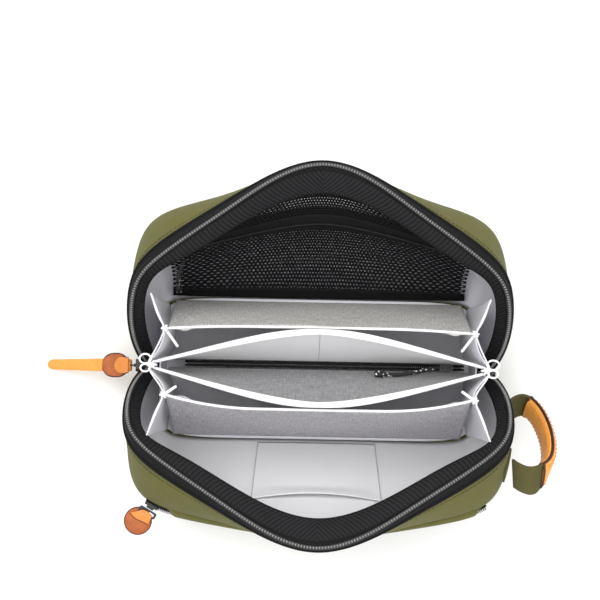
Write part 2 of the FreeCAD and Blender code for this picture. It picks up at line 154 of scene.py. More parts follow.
def frames(path: Array, up: Array) -> tuple[Array, Array, Array]:
    """Tangent, side and normal along a path: the side is tangent cross up, the normal side cross tangent."""
    tangent = unit(np.gradient(path, axis=0))
    side = unit(np.cross(tangent, up))
    return tangent, side, np.cross(side, tangent)


def wave_noise(x: Array, y: Array, seed: float, size: float) -> Array:
    """Smooth uneven ripples: a sum of five sines of different heading and length, from about -1 to 1."""
    total = np.zeros(np.broadcast(x, y).shape)
    for k in range(5):
        heading = seed * 1.7 + k * 2.39996
        pitch = size * (0.6 + 0.35 * k)
        total += np.sin((x * math.cos(heading) + y * math.sin(heading)) * 2 * math.pi / pitch + seed + k * 1.3)
    return total / 3.2


# Meshes

def add_mesh(name: str, points: Array, faces: list, uv: Array | None,
             finish: "bpy.types.Material") -> bpy.types.Object:
    """Makes an object at the origin from points in millimetres.

    Args:
        name: name of the piece.
        points: vertices, one row each.
        faces: vertex numbers of each face.
        uv: one texture place per vertex, in millimetres, or None.
        finish: its material.

    Returns:
        The new object, linked to the scene, smooth shaded, with its faces pointing outwards.
    """
    mesh = bpy.data.meshes.new(name)
    mesh.from_pydata((np.asarray(points) * MM).tolist(), [], faces)
    if uv is not None:
        layer = mesh.uv_layers.new(name="cloth")
        corner = np.zeros(len(mesh.loops), np.int32)
        mesh.loops.foreach_get("vertex_index", corner)
        layer.data.foreach_set("uv", (np.asarray(uv)[corner] * UV_UNIT).astype(np.float32).ravel())
    mesh.polygons.foreach_set("use_smooth", np.ones(len(mesh.polygons), bool))
    mesh.materials.append(finish)
    mesh.update()
    obj = bpy.data.objects.new(name, mesh)
    bpy.context.scene.collection.objects.link(obj)
    LOG.info("%s: %d faces", name, len(faces))
    return obj


def grid_faces(rows: int, columns: int, start: int = 0, flip: bool = False) -> Array:
    """Quads of a grid whose points are numbered row by row."""
    i, j = np.meshgrid(np.arange(rows - 1), np.arange(columns - 1), indexing="ij")
    a = (start + i * columns + j).ravel()
    quads = np.stack([a, a + 1, a + 1 + columns, a + columns], 1)
    return quads[:, ::-1] if flip else quads


def ring_numbers(rows: int, columns: int) -> Array:
    """Vertex numbers round the edge of a grid, in order."""
    top = np.arange(columns)
    right = np.arange(1, rows) * columns + columns - 1
    bottom = (rows - 1) * columns + np.arange(columns - 2, -1, -1)
    left = np.arange(rows - 2, 0, -1) * columns
    return np.concatenate([top, right, bottom, left])


def outward(points: Array, faces: Array) -> Array:
    """Faces turned over if the closed mesh they make has a negative volume (sum of origin tetrahedra)."""
    a, b, c, d = (points[faces[:, k]] for k in range(4))
    volume = np.einsum("ij,ij->", a, np.cross(b, c)) + np.einsum("ij,ij->", a, np.cross(c, d))
    return faces[:, ::-1] if volume < 0 else faces


def slab(name: str, outer: Array, inner: Array, finish: "bpy.types.Material",
         uv: Array | None = None) -> bpy.types.Object:
    """Closed sheet between two grids of points of the same shape (rows, columns, 3)."""
    rows, columns = outer.shape[:2]
    points = np.concatenate([outer.reshape(-1, 3), inner.reshape(-1, 3)])
    ring = ring_numbers(rows, columns)
    after = np.roll(ring, -1)
    count = rows * columns
    rim = np.stack([after, ring, ring + count, after + count], 1)
    faces = np.concatenate([grid_faces(rows, columns), grid_faces(rows, columns, count, True), rim])
    faces = outward(points, faces)
    if uv is None:
        along = arc_lengths(outer[rows // 2])
        across = arc_lengths(outer[:, columns // 2])
        uv = np.stack(np.broadcast_arrays(along[None, :], across[:, None]), 2)
    flat = uv.reshape(-1, 2)
    return add_mesh(name, points, faces.tolist(), np.concatenate([flat, flat]), finish)


def tube(name: str, path: Array, wide: Array | float, high: Array | float, up: Array,
         finish: "bpy.types.Material",
         sides: int = 12, power: float = 1.0, closed: bool = False) -> bpy.types.Object:
    """Tube along a path with an oval section: path + side * wide * cos + normal * high * sin.

    Args:
        name: name of the piece.
        path: centre line.
        wide: half width across, a number or one per point.
        high: half height along the normal, a number or one per point.
        up: direction that the side is square to.
        finish: its material.
        sides: points round the section.
        power: below 1 makes the section squarer, as a superellipse.
        closed: True joins the path's ends.

    Returns:
        The tube, with flat end caps if it is open.
    """
    if closed:
        tangent = unit(np.roll(path, -1, 0) - np.roll(path, 1, 0))
        side = unit(np.cross(tangent, up))
        normal = np.cross(side, tangent)
    else:
        tangent, side, normal = frames(path, up)
    angle = np.arange(sides) * 2 * math.pi / sides
    cosine = np.sign(np.cos(angle)) * np.abs(np.cos(angle)) ** power
    sine = np.sign(np.sin(angle)) * np.abs(np.sin(angle)) ** power
    w = np.broadcast_to(wide, len(path))[:, None, None]
    h = np.broadcast_to(high, len(path))[:, None, None]
    points = (path[:, None] + side[:, None] * w * cosine[None, :, None]
              + normal[:, None] * h * sine[None, :, None])
    count = len(path)
    i, j = np.meshgrid(np.arange(count if closed else count - 1), np.arange(sides), indexing="ij")
    follow, turn = (i + 1) % count, (j + 1) % sides
    faces = np.stack([i * sides + j, follow * sides + j, follow * sides + turn, i * sides + turn],
                     2).reshape(-1, 4)
    flat = points.reshape(-1, 3)
    faces = outward(flat, faces).tolist()
    if not closed:
        start = list(range(sides))
        end = list(range((count - 1) * sides, count * sides))
        first_edge = set(zip(faces[0], faces[0][1:] + faces[0][:1]))
        forward = (0, 1) in first_edge
        faces += [start[::-1] if forward else start, end if forward else end[::-1]]
    length = np.concatenate([arc_lengths(path)])
    uv = np.stack(np.broadcast_arrays(length[:, None], angle[None, :] * np.mean(wide)), 2).reshape(-1, 2)
    return add_mesh(name, flat, faces, uv, finish)


def scatter(name: str, shape: tuple[Array, list], places: Array, axes: Array,
            finish: "bpy.types.Material") -> bpy.types.Object:
    """One mesh of many copies of a small shape: place + shape @ axes for each copy.

    Args:
        name: name of the piece.
        shape: the shape's points and faces.
        places: a point for each copy.
        axes: three rows of axes for each copy.
        finish: its material.

    Returns:
        The joined object.
    """
    template, faces = shape
    points = places[:, None] + np.einsum("pk,nkc->npc", template, axes)
    shift = np.arange(len(places)) * len(template)
    joined = [[n + s for n in face] for s in shift.tolist() for face in faces]
    return add_mesh(name, points.reshape(-1, 3), joined, None, finish)


def pebble(length: float, width: float, height: float, sides: int = 6) -> tuple[Array, list]:
    """Small rounded bar along the first axis: four rings of an oval, closed with caps."""
    along = np.array([-0.5, -0.32, 0.32, 0.5]) * length
    swell = np.array([0.45, 1.0, 1.0, 0.45])
    angle = np.arange(sides) * 2 * math.pi / sides
    ring = np.stack([np.zeros(sides), np.cos(angle) * width / 2, np.sin(angle) * height / 2], 1)
    points = ring[None] * swell[:, None, None]
    points[:, :, 0] = along[:, None]
    faces = [[r * sides + k, (r + 1) * sides + k, (r + 1) * sides + (k + 1) % sides,
              r * sides + (k + 1) % sides]
             for r in range(3) for k in range(sides)]
    faces = [f[::-1] for f in faces]
    faces += [list(range(sides))[::-1], list(range(3 * sides, 4 * sides))]
    return points.reshape(-1, 3), faces


def stitches(name: str, path: Array, up: Array, finish: "bpy.types.Material", pitch: float = 2.6,
             size: float = 0.5) -> bpy.types.Object:
    """Row of sewn thread: a small bar every pitch along a path, lying in its direction."""
    dense = even_path(path, pitch / 2)
    tangent, side, normal = frames(dense, up)
    axes = np.stack([tangent, side, normal], 1)[1::2]
    return scatter(name, pebble(pitch * 0.72, size, size * 0.8), dense[1::2], axes, finish)


def inflate(piece: bpy.types.Object, pinned: Array, pressure: float, most: float, frames_run: int = 16) -> None:
    """Puffs a closed sheet with a cloth simulation and keeps the result in its mesh.

    Args:
        piece: the closed mesh; it stays where it is.
        pinned: True for the vertices that seams hold.
        pressure: air pressure inside.
        most: furthest a point may move, in millimetres.
        frames_run: frames to simulate.
    """
    group = piece.vertex_groups.new(name="seam")
    group.add(np.flatnonzero(pinned).tolist(), 1.0, "REPLACE")
    cloth = piece.modifiers.new("puff", "CLOTH")
    cloth.settings.vertex_group_mass = "seam"
    cloth.settings.use_pressure = True
    cloth.settings.uniform_pressure_force = pressure
    cloth.settings.mass = 0.15
    cloth.settings.bending_stiffness = 0.4
    cloth.settings.effector_weights.gravity = 0
    cloth.settings.quality = 4
    cloth.collision_settings.use_collision = False
    cloth.point_cache.frame_start, cloth.point_cache.frame_end = 1, frames_run
    scene = bpy.context.scene
    for number in range(1, frames_run + 1):
        scene.frame_set(number)
    count = len(piece.data.vertices)
    rest = np.zeros(count * 3, np.float32)
    piece.data.vertices.foreach_get("co", rest)
    puffed = np.zeros(count * 3, np.float32)
    shown = piece.evaluated_get(bpy.context.evaluated_depsgraph_get())
    shown.data.vertices.foreach_get("co", puffed)
    piece.modifiers.remove(cloth)
    move = (puffed - rest).reshape(-1, 3)
    far = np.linalg.norm(move, axis=1, keepdims=True)
    limit = most * MM
    move *= np.where(far > 1e-9, limit * np.tanh(far / limit) / np.maximum(far, 1e-9), 0)
    piece.data.vertices.foreach_set("co", (rest.reshape(-1, 3) + move).ravel())
    piece.data.update()
    piece.vertex_groups.clear()
    scene.frame_set(1)
    LOG.info("%s puffed by up to %.1f mm", piece.name, float(far.max() / MM))


# Finishes

class Shader:
    """Short way to build a material's nodes."""

    def __init__(self, name: str) -> None:
        """Makes an empty material with a Principled shader."""
        self.material = bpy.data.materials.new(name)
        self.material.use_nodes = True
        self.tree = self.material.node_tree
        self.shader = self.tree.nodes["Principled BSDF"]

    def node(self, kind: str, inputs: dict | None = None, **settings: object) -> bpy.types.Node:
        """Adds a node; inputs are values or sockets by name or number, settings are its properties."""
        made = self.tree.nodes.new(kind)
        for key, value in settings.items():
            setattr(made, key, value)
        for key, value in (inputs or {}).items():
            if isinstance(value, bpy.types.NodeSocket):
                self.tree.links.new(value, made.inputs[key])
            else:
                made.inputs[key].default_value = value
        return made

    def maths(self, operation: str, a: object, b: object = 0.0) -> bpy.types.NodeSocket:
        """One Math node's result."""
        return self.node("ShaderNodeMath", {0: a, 1: b}, operation=operation).outputs[0]

    def mix(self, share: object, dark: object, light: object) -> bpy.types.NodeSocket:
        """Colour between two colours."""
        made = self.node("ShaderNodeMix", {0: share, 6: dark, 7: light}, data_type="RGBA")
        return made.outputs[2]

    def noise(self, where: bpy.types.NodeSocket, scale: float, detail: float = 3.0) -> bpy.types.NodeSocket:
        """Noise texture's value."""
        return self.node("ShaderNodeTexNoise",
                         {"Vector": where, "Scale": scale, "Detail": detail}).outputs["Fac"]

    def stretched(self, where: bpy.types.NodeSocket, x: float, y: float) -> bpy.types.NodeSocket:
        """Texture places scaled differently in two directions."""
        return self.node("ShaderNodeMapping", {"Vector": where, "Scale": (x, y, 1.0)}).outputs[0]

    def finish(self, colour: object, height: object, strength: float, distance: float, roughness: float,
               sheen: float = 0.0, metallic: float = 0.0, gloss: float = 0.5) -> bpy.types.Material:
        """Joins colour and bump to the shader and sets its plain values."""
        bump = self.node("ShaderNodeBump", {"Height": height, "Strength": strength, "Distance": distance * MM})
        self.tree.links.new(bump.outputs[0], self.shader.inputs["Normal"])
        self.tree.links.new(colour, self.shader.inputs["Base Color"])
        self.shader.inputs["Roughness"].default_value = roughness
        self.shader.inputs["Sheen Weight"].default_value = sheen
        self.shader.inputs["Metallic"].default_value = metallic
        self.shader.inputs["Specular IOR Level"].default_value = gloss
        return self.material


def rgba(colour: tuple, gain: float = 1.0) -> tuple:
    """Colour with full alpha, made lighter or darker."""
    return tuple(min(1.0, c * gain) for c in colour) + (1.0,)


@dataclass(frozen=True)
class Cloth:
    """A woven or knitted finish. Thread pitch is in millimetres."""

    name: str
    colour: tuple
    weave: Weave = Weave.PLAIN
    pitch: float = 0.7
    contrast: float = 0.25
    roughness: float = 0.9
    sheen: float = 0.15
    relief: float = 0.12

    def build(self) -> bpy.types.Material:
        """Makes the material from crossing sine threads, mottling and bump, on the UV map."""
        made = Shader(self.name)
        where = made.node("ShaderNodeUVMap", uv_map="cloth").outputs[0]
        split = made.node("ShaderNodeSeparateXYZ", {0: where})
        turns = 2 * math.pi / (self.pitch * UV_UNIT)
        u, v = split.outputs[0], split.outputs[1]
        if self.weave is Weave.HERRINGBONE:
            u = made.maths("ADD", u, made.maths("PINGPONG", v, 3.2 * UV_UNIT))
        if self.weave is Weave.RIB:
            u = made.maths("MULTIPLY", made.maths("SUBTRACT", made.maths("ABSOLUTE", u), v), 0.85)
        warp = made.maths("SINE", made.maths("MULTIPLY", u, turns))
        weft = made.maths("SINE", made.maths("MULTIPLY", v, turns))
        if self.weave in (Weave.HERRINGBONE, Weave.RIB):
            thread = made.maths("MULTIPLY", warp, 0.5)
        else:
            thread = made.maths("MULTIPLY", made.maths("MULTIPLY", warp, weft), 0.5)
        height = made.maths("ADD", thread, 0.5)
        cloud = made.noise(where, 0.9)
        fine = made.noise(where, 14.0, 4.0)
        tone = made.maths("MULTIPLY", made.maths("ADD", cloud, fine), 0.5)
        if self.weave is Weave.MELANGE:
            across = made.noise(made.stretched(where, 1.2, 10.0), 1.0, 3.0)
            along = made.noise(made.stretched(where, 10.0, 1.2), 1.0, 3.0)
            tone = made.maths("MULTIPLY", made.maths("ADD", across, along), 0.5)
            tone = made.maths("ADD", made.maths("MULTIPLY", made.maths("SUBTRACT", tone, 0.5), 4.0), 0.5)
        share = made.maths("ADD", made.maths("MULTIPLY", height, 0.45), made.maths("MULTIPLY", tone, 0.55))
        colour = made.mix(share, rgba(self.colour, 1 - self.contrast), rgba(self.colour, 1 + self.contrast))
        return made.finish(colour, height, 0.5, self.relief, self.roughness, self.sheen, 0.0, 0.15)


@dataclass(frozen=True)
class Hide:
    """A leather finish: pores, mottling, and for suede a raised nap."""

    name: str
    colour: tuple
    roughness: float = 0.45
    contrast: float = 0.22
    grain: float = 0.9
    relief: float = 0.12
    nap: bool = False

    def build(self) -> bpy.types.Material:
        """Makes the material from cells for the grain and noise for the tone, on Object coordinates."""
        made = Shader(self.name)
        where = made.node("ShaderNodeTexCoord").outputs["Object"]
        pores = made.node("ShaderNodeTexVoronoi",
                          {"Vector": where, "Scale": 1000 / self.grain}).outputs["Distance"]
        cloud = made.noise(where, 90.0, 4.0)
        fleck = made.noise(where, 1400.0 if self.nap else 500.0, 3.0)
        tone = made.maths("ADD", made.maths("MULTIPLY", cloud, 0.6), made.maths("MULTIPLY", fleck, 0.4))
        tone = made.maths("ADD", made.maths("MULTIPLY", made.maths("SUBTRACT", tone, 0.5), 2.4), 0.5)
        colour = made.mix(tone, rgba(self.colour, 1 - self.contrast), rgba(self.colour, 1 + self.contrast))
        height = fleck if self.nap else pores
        return made.finish(colour, height, 0.5, self.relief, self.roughness, 0.1 if self.nap else 0.0, 0.0, 0.3)


@dataclass(frozen=True)
class Hard:
    """A moulded or metal finish with faint scuffs."""

    name: str
    colour: tuple
    roughness: float = 0.35
    metallic: float = 0.0

    def build(self) -> bpy.types.Material:
        """Makes the material from one noise for tone and scuffs, on Object coordinates."""
        made = Shader(self.name)
        where = made.node("ShaderNodeTexCoord").outputs["Object"]
        scuff = made.noise(where, 700.0, 5.0)
        colour = made.mix(scuff, rgba(self.colour, 0.75), rgba(self.colour, 1.3))
        return made.finish(colour, scuff, 0.25, 0.05, self.roughness, 0.0, self.metallic)


@dataclass(frozen=True)
class Flecked:
    """Braided black cord with pale flecks."""

    name: str
    colour: tuple
    fleck: tuple

    def build(self) -> bpy.types.Material:
        """Makes the material: cells of the braid on the UV map, a few of them pale."""
        made = Shader(self.name)
        where = made.node("ShaderNodeUVMap", uv_map="cloth").outputs[0]
        cells = made.node("ShaderNodeTexVoronoi", {"Vector": where, "Scale": 5.2})
        chosen = made.node("ShaderNodeTexWhiteNoise", {"Vector": cells.outputs["Position"]}).outputs["Value"]
        near = made.maths("LESS_THAN", cells.outputs["Distance"], 0.34)
        pale = made.maths("MULTIPLY", made.maths("GREATER_THAN", chosen, 0.62), near)
        colour = made.mix(pale, rgba(self.colour), rgba(self.fleck))
        return made.finish(colour, cells.outputs["Distance"], 0.6, 0.3, 0.75)


FINISHES = {
    "canvas": Cloth("canvas_olive", (0.108, 0.106, 0.028), Weave.PLAIN, 1.3, 0.55, 0.85, 0.05, 0.3),
    "webbing": Cloth("webbing_olive", (0.082, 0.075, 0.026), Weave.HERRINGBONE, 1.7, 0.8, 0.85, 0.05, 0.3),
    "lining": Cloth("lining_pale", (0.74, 0.74, 0.78), Weave.SMOOTH, 0.35, 0.05, 0.7, 0.2, 0.03),
    "lining_white": Cloth("lining_white", (0.74, 0.74, 0.75), Weave.SMOOTH, 0.35, 0.04, 0.7, 0.2, 0.03),
    "tape_white": Cloth("tape_white", (0.84, 0.84, 0.86), Weave.PLAIN, 0.8, 0.06, 0.75, 0.2, 0.1),
    "melange_warm": Cloth("melange_warm", (0.50, 0.485, 0.46), Weave.MELANGE, 0.9, 0.5, 0.95, 0.2, 0.25),
    "melange_cool": Cloth("melange_cool", (0.38, 0.365, 0.39), Weave.MELANGE, 0.9, 0.5, 0.95, 0.2, 0.25),
    "melange_dark": Cloth("melange_dark", (0.25, 0.25, 0.255), Weave.MELANGE, 0.9, 0.5, 0.95, 0.2, 0.25),
    "facing": Cloth("facing_black", (0.0105, 0.010, 0.011), Weave.RIB, 2.5, 0.85, 0.7, 0.0, 0.6),
    "mesh": Cloth("mesh_black", (0.006, 0.006, 0.007), Weave.PLAIN, 0.6, 0.4, 0.75, 0.0, 0.1),
    "zip_tape": Cloth("zip_tape_black", (0.007, 0.007, 0.007), Weave.HERRINGBONE, 0.8, 0.5, 0.75, 0.0, 0.12),
    "foam": Cloth("foam_grey", (0.35, 0.35, 0.35), Weave.SMOOTH, 0.5, 0.1),
    "thread_olive": Cloth("thread_olive", (0.075, 0.072, 0.025), Weave.SMOOTH, 0.3),
    "thread_grey": Cloth("thread_grey", (0.42, 0.42, 0.45), Weave.SMOOTH, 0.3),
    "thread_black": Cloth("thread_black", (0.02, 0.02, 0.02), Weave.SMOOTH, 0.3),
    "leather": Hide("leather_tan", (0.66, 0.235, 0.052), 0.42, 0.18, 1.1, 0.08),
    # a lighter copy of the tan leather: on the handle grip its extra lightness is painted light against the
    # grip's shade; on the pull tail it is the tail's paler tone
    "leather_pale_and_painted_light": Hide("leather_pale_and_painted_light", (0.74, 0.31, 0.062), 0.42, 0.16, 1.1, 0.08),
    "suede": Hide("suede_brown", (0.36, 0.105, 0.038), 0.9, 0.5, 0.5, 0.25, True),
    "edge_paint": Hide("edge_paint", (0.055, 0.020, 0.012), 0.5, 0.3, 0.8, 0.08),
    # the teeth are black; this grey colour is painted highlight, standing in for the glints on them
    "coil": Hard("teeth_painted_glint_grey", (0.22, 0.22, 0.22), 0.28, 0.5),
    "coil_black": Hard("coil_black", (0.02, 0.02, 0.02), 0.35),
    "slider": Hard("slider_black", (0.025, 0.025, 0.026), 0.32, 0.6),
    "board": Hard("board_grey", (0.30, 0.30, 0.30), 0.6),
    "cord": Flecked("cord_flecked", (0.016, 0.016, 0.017), (0.85, 0.85, 0.85)),
}


class Wardrobe:
    """The materials, each made the first time it is asked for."""

    def __init__(self) -> None:
        """Starts with none made."""
        self.made: dict = {}

    def __getitem__(self, name: str) -> bpy.types.Material:
        """The material of that name in FINISHES."""
        if name not in self.made:
            self.made[name] = FINISHES[name].build()
        return self.made[name]


def dress(piece: bpy.types.Object, body: str, slot: str, *nodes: str) -> bpy.types.Object:
    """Rides a piece on a body and hides the nodes it stands for."""
    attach(piece, body)
    if nodes:
        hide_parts(*nodes)
    return piece


# The two folding shells

@dataclass
class Shell:
    """One half of the pouch: canvas, foam, lining, facing, zip tape and teeth on one spline surface."""

    side: Side
    wardrobe: Wardrobe
    base: list
    mid: list
    rim: list
    skin: float = 1.2
    foam: float = 2.5
    lining: float = 0.7
    gap: float = 0.15
    facing_drop: float = 9.5
    facing_lean: float = 13.5
    tooth_pitch: float = 1.8
    inward: tuple = ((1, 0), (1, 0), (0.95, 0.3), (0.65, 0.76), (0.15, 1), (0, 1))

    def row(self, half: list, depth: float) -> Array:
        """Control points of a row, moved inwards by depth, on this side, mirrored whole."""
        sign = self.side.value
        moved = [(x + depth * nx, sign * max(y - depth * ny, 0.0), z) for (x, y, z),
                 (nx, ny) in zip(half, self.inward)]
        return np.array(whole_loop(moved), float)

    def at(self, u: Array, v: Array, depth: float | Array = 0.0) -> Array:
        """Points of the surface: a quadratic Bezier from base through mid to rim in v, cubic splines in u.

        Args:
            u: places along the loop, 0 to 1, one per column.
            v: share of the height, any array that broadcasts with (rows, columns).
            depth: distance inwards from the outside of the canvas, in millimetres.

        Returns:
            Array (rows, columns, 3).
        """
        weights = basis(11, 3, u)
        v = np.broadcast_to(v, np.broadcast(v, u[None, :]).shape)[..., None]
        flat = [weights @ self.row(half, 0.0) for half in (self.base, self.mid, self.rim)]
        deep = [weights @ self.row(half, 1.0) for half in (self.base, self.mid, self.rim)]
        bow = np.stack([(1 - v) ** 2, 2 * v * (1 - v), v * v], 0)
        surface = sum(b * r[None] for b, r in zip(bow, flat))
        shift = sum(b * (d - r)[None] for b, r, d in zip(bow, flat, deep))
        return surface + shift * np.broadcast_to(depth, v.shape[:2])[..., None]

    def drop(self, u: Array, distance: float) -> Array:
        """Share of the height that lies a distance below the rim: 1 - distance / (2 |rim - mid|)."""
        weights = basis(11, 3, u)
        span = np.linalg.norm(weights @ self.row(self.rim, 0) - weights @ self.row(self.mid, 0), axis=1)
        return 1 - distance / (2 * span)

    def lean(self, u: Array) -> Array:
        """Depth of the facing's inner edge, less near the ends where the shells meet."""
        near_end = smooth_step(0.08, 0.34, np.minimum(u, 1 - u))
        return 5.0 + (self.facing_lean - 5.0) * near_end + self.skin + self.foam

    def cloth_uv(self, points: Array) -> Array:
        """UV of a grid: distance along its columns from the middle, and along its rows from the first."""
        along = np.cumsum(np.linalg.norm(np.diff(points, axis=1, prepend=points[:, :1]), axis=2), axis=1)
        across = np.cumsum(np.linalg.norm(np.diff(points, axis=0, prepend=points[:1]), axis=2), axis=0)
        middle = points.shape[1] // 2
        return np.stack([along - along[:, middle:middle + 1], across], 2)

    def ripple(self, u: Array, v: Array) -> Array:
        """Slack of the canvas: soft diagonal folds at the corners and small dents, nil at the seams."""
        x = (u[None, :] - 0.5) * 260
        y = v * 120
        corner = np.exp(-((np.abs(u[None, :] - 0.5) - 0.27) / 0.09) ** 2)
        folds = np.sin((np.abs(x) * 0.55 + y * 0.9) / 13.0) * corner * 1.5
        dents = wave_noise(x, y, 2.0 + self.side.value, 62.0) * 0.7
        return (folds + dents) * smooth_step(0, 0.2, v) * smooth_step(0, 0.22, 1 - v)

    def bend(self, piece: bpy.types.Object, slot: str, *nodes: str) -> bpy.types.Object:
        """Bakes a fabric piece's transform into its mesh and hides the nodes it stands for."""
        sign = self.side.value
        start, end = (tuple(c * MM for c in flip_y([p], sign)[0]) for p in (FOLD_START, FOLD_END))
        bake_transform(piece)
        if nodes:
            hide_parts(*nodes)
        return piece

    def build_layers(self) -> None:
        """Canvas, foam and lining."""
        word = self.side.word
        u, v = np.linspace(0, 1, 201), np.linspace(0, 0.972, 61)[:, None]
        slack = self.ripple(u, v)
        outer, inner = self.at(u, v, -slack - 0.2), self.at(u, v, self.skin - slack)
        canvas = slab(word + "_canvas", outer, inner, self.wardrobe["canvas"], self.cloth_uv(outer))
        rows, columns = outer.shape[:2]
        pinned = np.zeros((2, rows, columns), bool)
        pinned[1] = True
        pinned[0, :2] = pinned[0, -2:] = pinned[0, :, :2] = pinned[0, :, -2:] = True
        inflate(canvas, pinned.ravel(), 1.2, 1.4)
        self.bend(canvas, "canvas", word + "_outer_panel")
        u, v = np.linspace(0, 1, 121), np.linspace(0.01, 0.965, 31)[:, None]
        depth = self.skin + self.gap + 0.5
        foam = slab(word + "_padding", self.at(u, v, depth), self.at(u, v, depth + self.foam - 0.7),
                    self.wardrobe["foam"])
        self.bend(foam, "foam_pad", word + "_foam")
        u, v = np.linspace(0, 1, 161), np.linspace(0, 1, 41)[:, None]
        height = np.clip(v * self.drop(u, self.facing_drop - 0.5)[None], 0.0, 0.96)
        depth = self.skin + self.foam + 2 * self.gap
        slack = (wave_noise((u[None] - 0.5) * 240, v * 110, 5.0, 70.0) * 0.5
                 * smooth_step(0, 0.3, v) * smooth_step(0, 0.2, 1 - v))
        padding = (self.lean(u)[None] - depth) * smooth_step(0.55, 1.0, v) ** 1.3
        outer, inner = (self.at(u, height, depth + slack + padding + more) for more in (0.0, self.lining))
        name = "lining_white" if self.side is Side.FRONT else "lining"
        lining = slab(word + "_lining_cloth", outer, inner, self.wardrobe[name], self.cloth_uv(outer))
        self.bend(lining, "lining", word + "_lining")

    def build_facing(self) -> None:
        """Ribbed black facing inside the zip, its ribs slanting away from the middle, and its edge seam."""
        word = self.side.word
        u, v = np.linspace(0, 1, 861), np.linspace(0, 1, 34)[:, None]
        low = np.clip(self.drop(u, self.facing_drop), 0.05, 1)
        height = low[None] + v * (0.985 - low[None])
        reach = self.lean(u)[None] * (1 - v) + (self.skin + 1.3) * v
        uv = self.cloth_uv(self.at(u, height, reach))
        slant = np.abs(uv[..., 0]) * 0.85 - uv[..., 1] * 0.85
        rib = np.abs(np.sin(slant * math.pi / 2.5)) * 0.6
        fade = smooth_step(0.0, 0.06, v) * smooth_step(0.0, 0.12, 1 - v)
        belly = np.sin(v * math.pi) * 1.2
        outer = self.at(u, height, reach - 0.4 + belly)
        inner = self.at(u, height, reach + self.lining + rib * fade + belly)
        facing = slab(word + "_facing_cloth", outer, inner, self.wardrobe["facing"], uv)
        self.bend(facing, "facing", word + "_zip_facing")
        for name, share, size in (("cording", 0.92, 0.7), ("edge", 0.02, 0.6)):
            row = np.full((1, len(u)), share)
            line = self.at(u, low[None] + row * (0.985 - low[None]),
                           self.lean(u)[None] * (1 - row) + (self.skin + 1.3) * row + 0.9)[0]
            ridge = tube(f"{word}_facing_{name}", even_path(line, 1.2), size, size, UP,
                         self.wardrobe["zip_tape"], 10)
            self.bend(ridge, "zip_tape")

    def build_zip(self) -> None:
        """Zip tape folded over the rim and the chain of single teeth along it."""
        word = self.side.word
        u, v = np.linspace(0, 1, 301), np.linspace(0, 1, 7)[:, None]
        height = 0.945 + v * 0.050
        outer = self.at(u, height, -0.75 + v * 0.5)
        inner = self.at(u, height, 3.6 - v * 0.9)
        tape = slab(word + "_tape", outer, inner, self.wardrobe["zip_tape"], self.cloth_uv(outer))
        self.bend(tape, "zip_tape", word + "_zip_tape")
        dense = np.linspace(0.002, 0.998, 1500)
        edge = even_path(self.at(dense, np.full((1, 1500), 1.0), 1.4)[0], self.tooth_pitch / 2)
        tangent, side, normal = frames(edge, UP)
        axes = np.stack([tangent, side, normal], 1)
        # the teeth's grey colour is painted highlight for the glints on black teeth
        teeth = scatter(word + "_teeth", pebble(self.tooth_pitch * 0.52, 1.7, 1.9, 8), edge[::2], axes[::2],
                        self.wardrobe["coil"])
        self.bend(teeth, "zip_coil", word + "_zip_teeth")
        core = tube(word + "_teeth_cord", edge + normal * -0.30, 1.35, 0.75, UP, self.wardrobe["coil_black"], 8)
        self.bend(core, "zip_coil")
        piping = self.at(dense[::4], np.full((1, 375), 0.952), -0.9)[0]
        cord = tube(word + "_rim_piping", even_path(piping, 1.5), 0.85, 0.85, UP, self.wardrobe["zip_tape"], 10)
        self.bend(cord, "zip_tape")
        seam = self.at(dense[::4], np.full((1, 375), 0.915), -0.45)[0]
        row = stitches(word + "_rim_stitching", seam, UP, self.wardrobe["thread_olive"], 3.0, 0.55)
        self.bend(row, "canvas")

    def build(self) -> None:
        """Everything that both shells have."""
        self.build_layers()
        self.build_facing()
        self.build_zip()


BASE_ROW = [(-113, 0, 0.9), (-113, 16, 0.9), (-113, 38, 0.9), (-106, 52, 0.9), (-58, 52, 0.9), (0, 52, 0.9)]
MID_ROW = {
    Side.FRONT: [(-120, 0, 16), (-126, 20, 30), (-129, 74, 48), (-121, 128, 50), (-66, 122, 57), (0, 110, 64)],
    Side.BACK: [(-120, 0, 16), (-126, 22, 30), (-128, 84, 48), (-117, 138, 50), (-66, 137, 54), (0, 127, 60)],
}
RIM_ROW = {
    Side.FRONT: [(-115, 1.5, 29), (-122, 10, 60), (-123, 36, 96), (-108, 54, 102), (-58, 84, 112),
                 (0, 122, 121)],
    Side.BACK: [(-115, 1.5, 29), (-122, 12, 60), (-122, 46, 94), (-106, 66, 99), (-58, 97, 106), (0, 139, 114)],
}


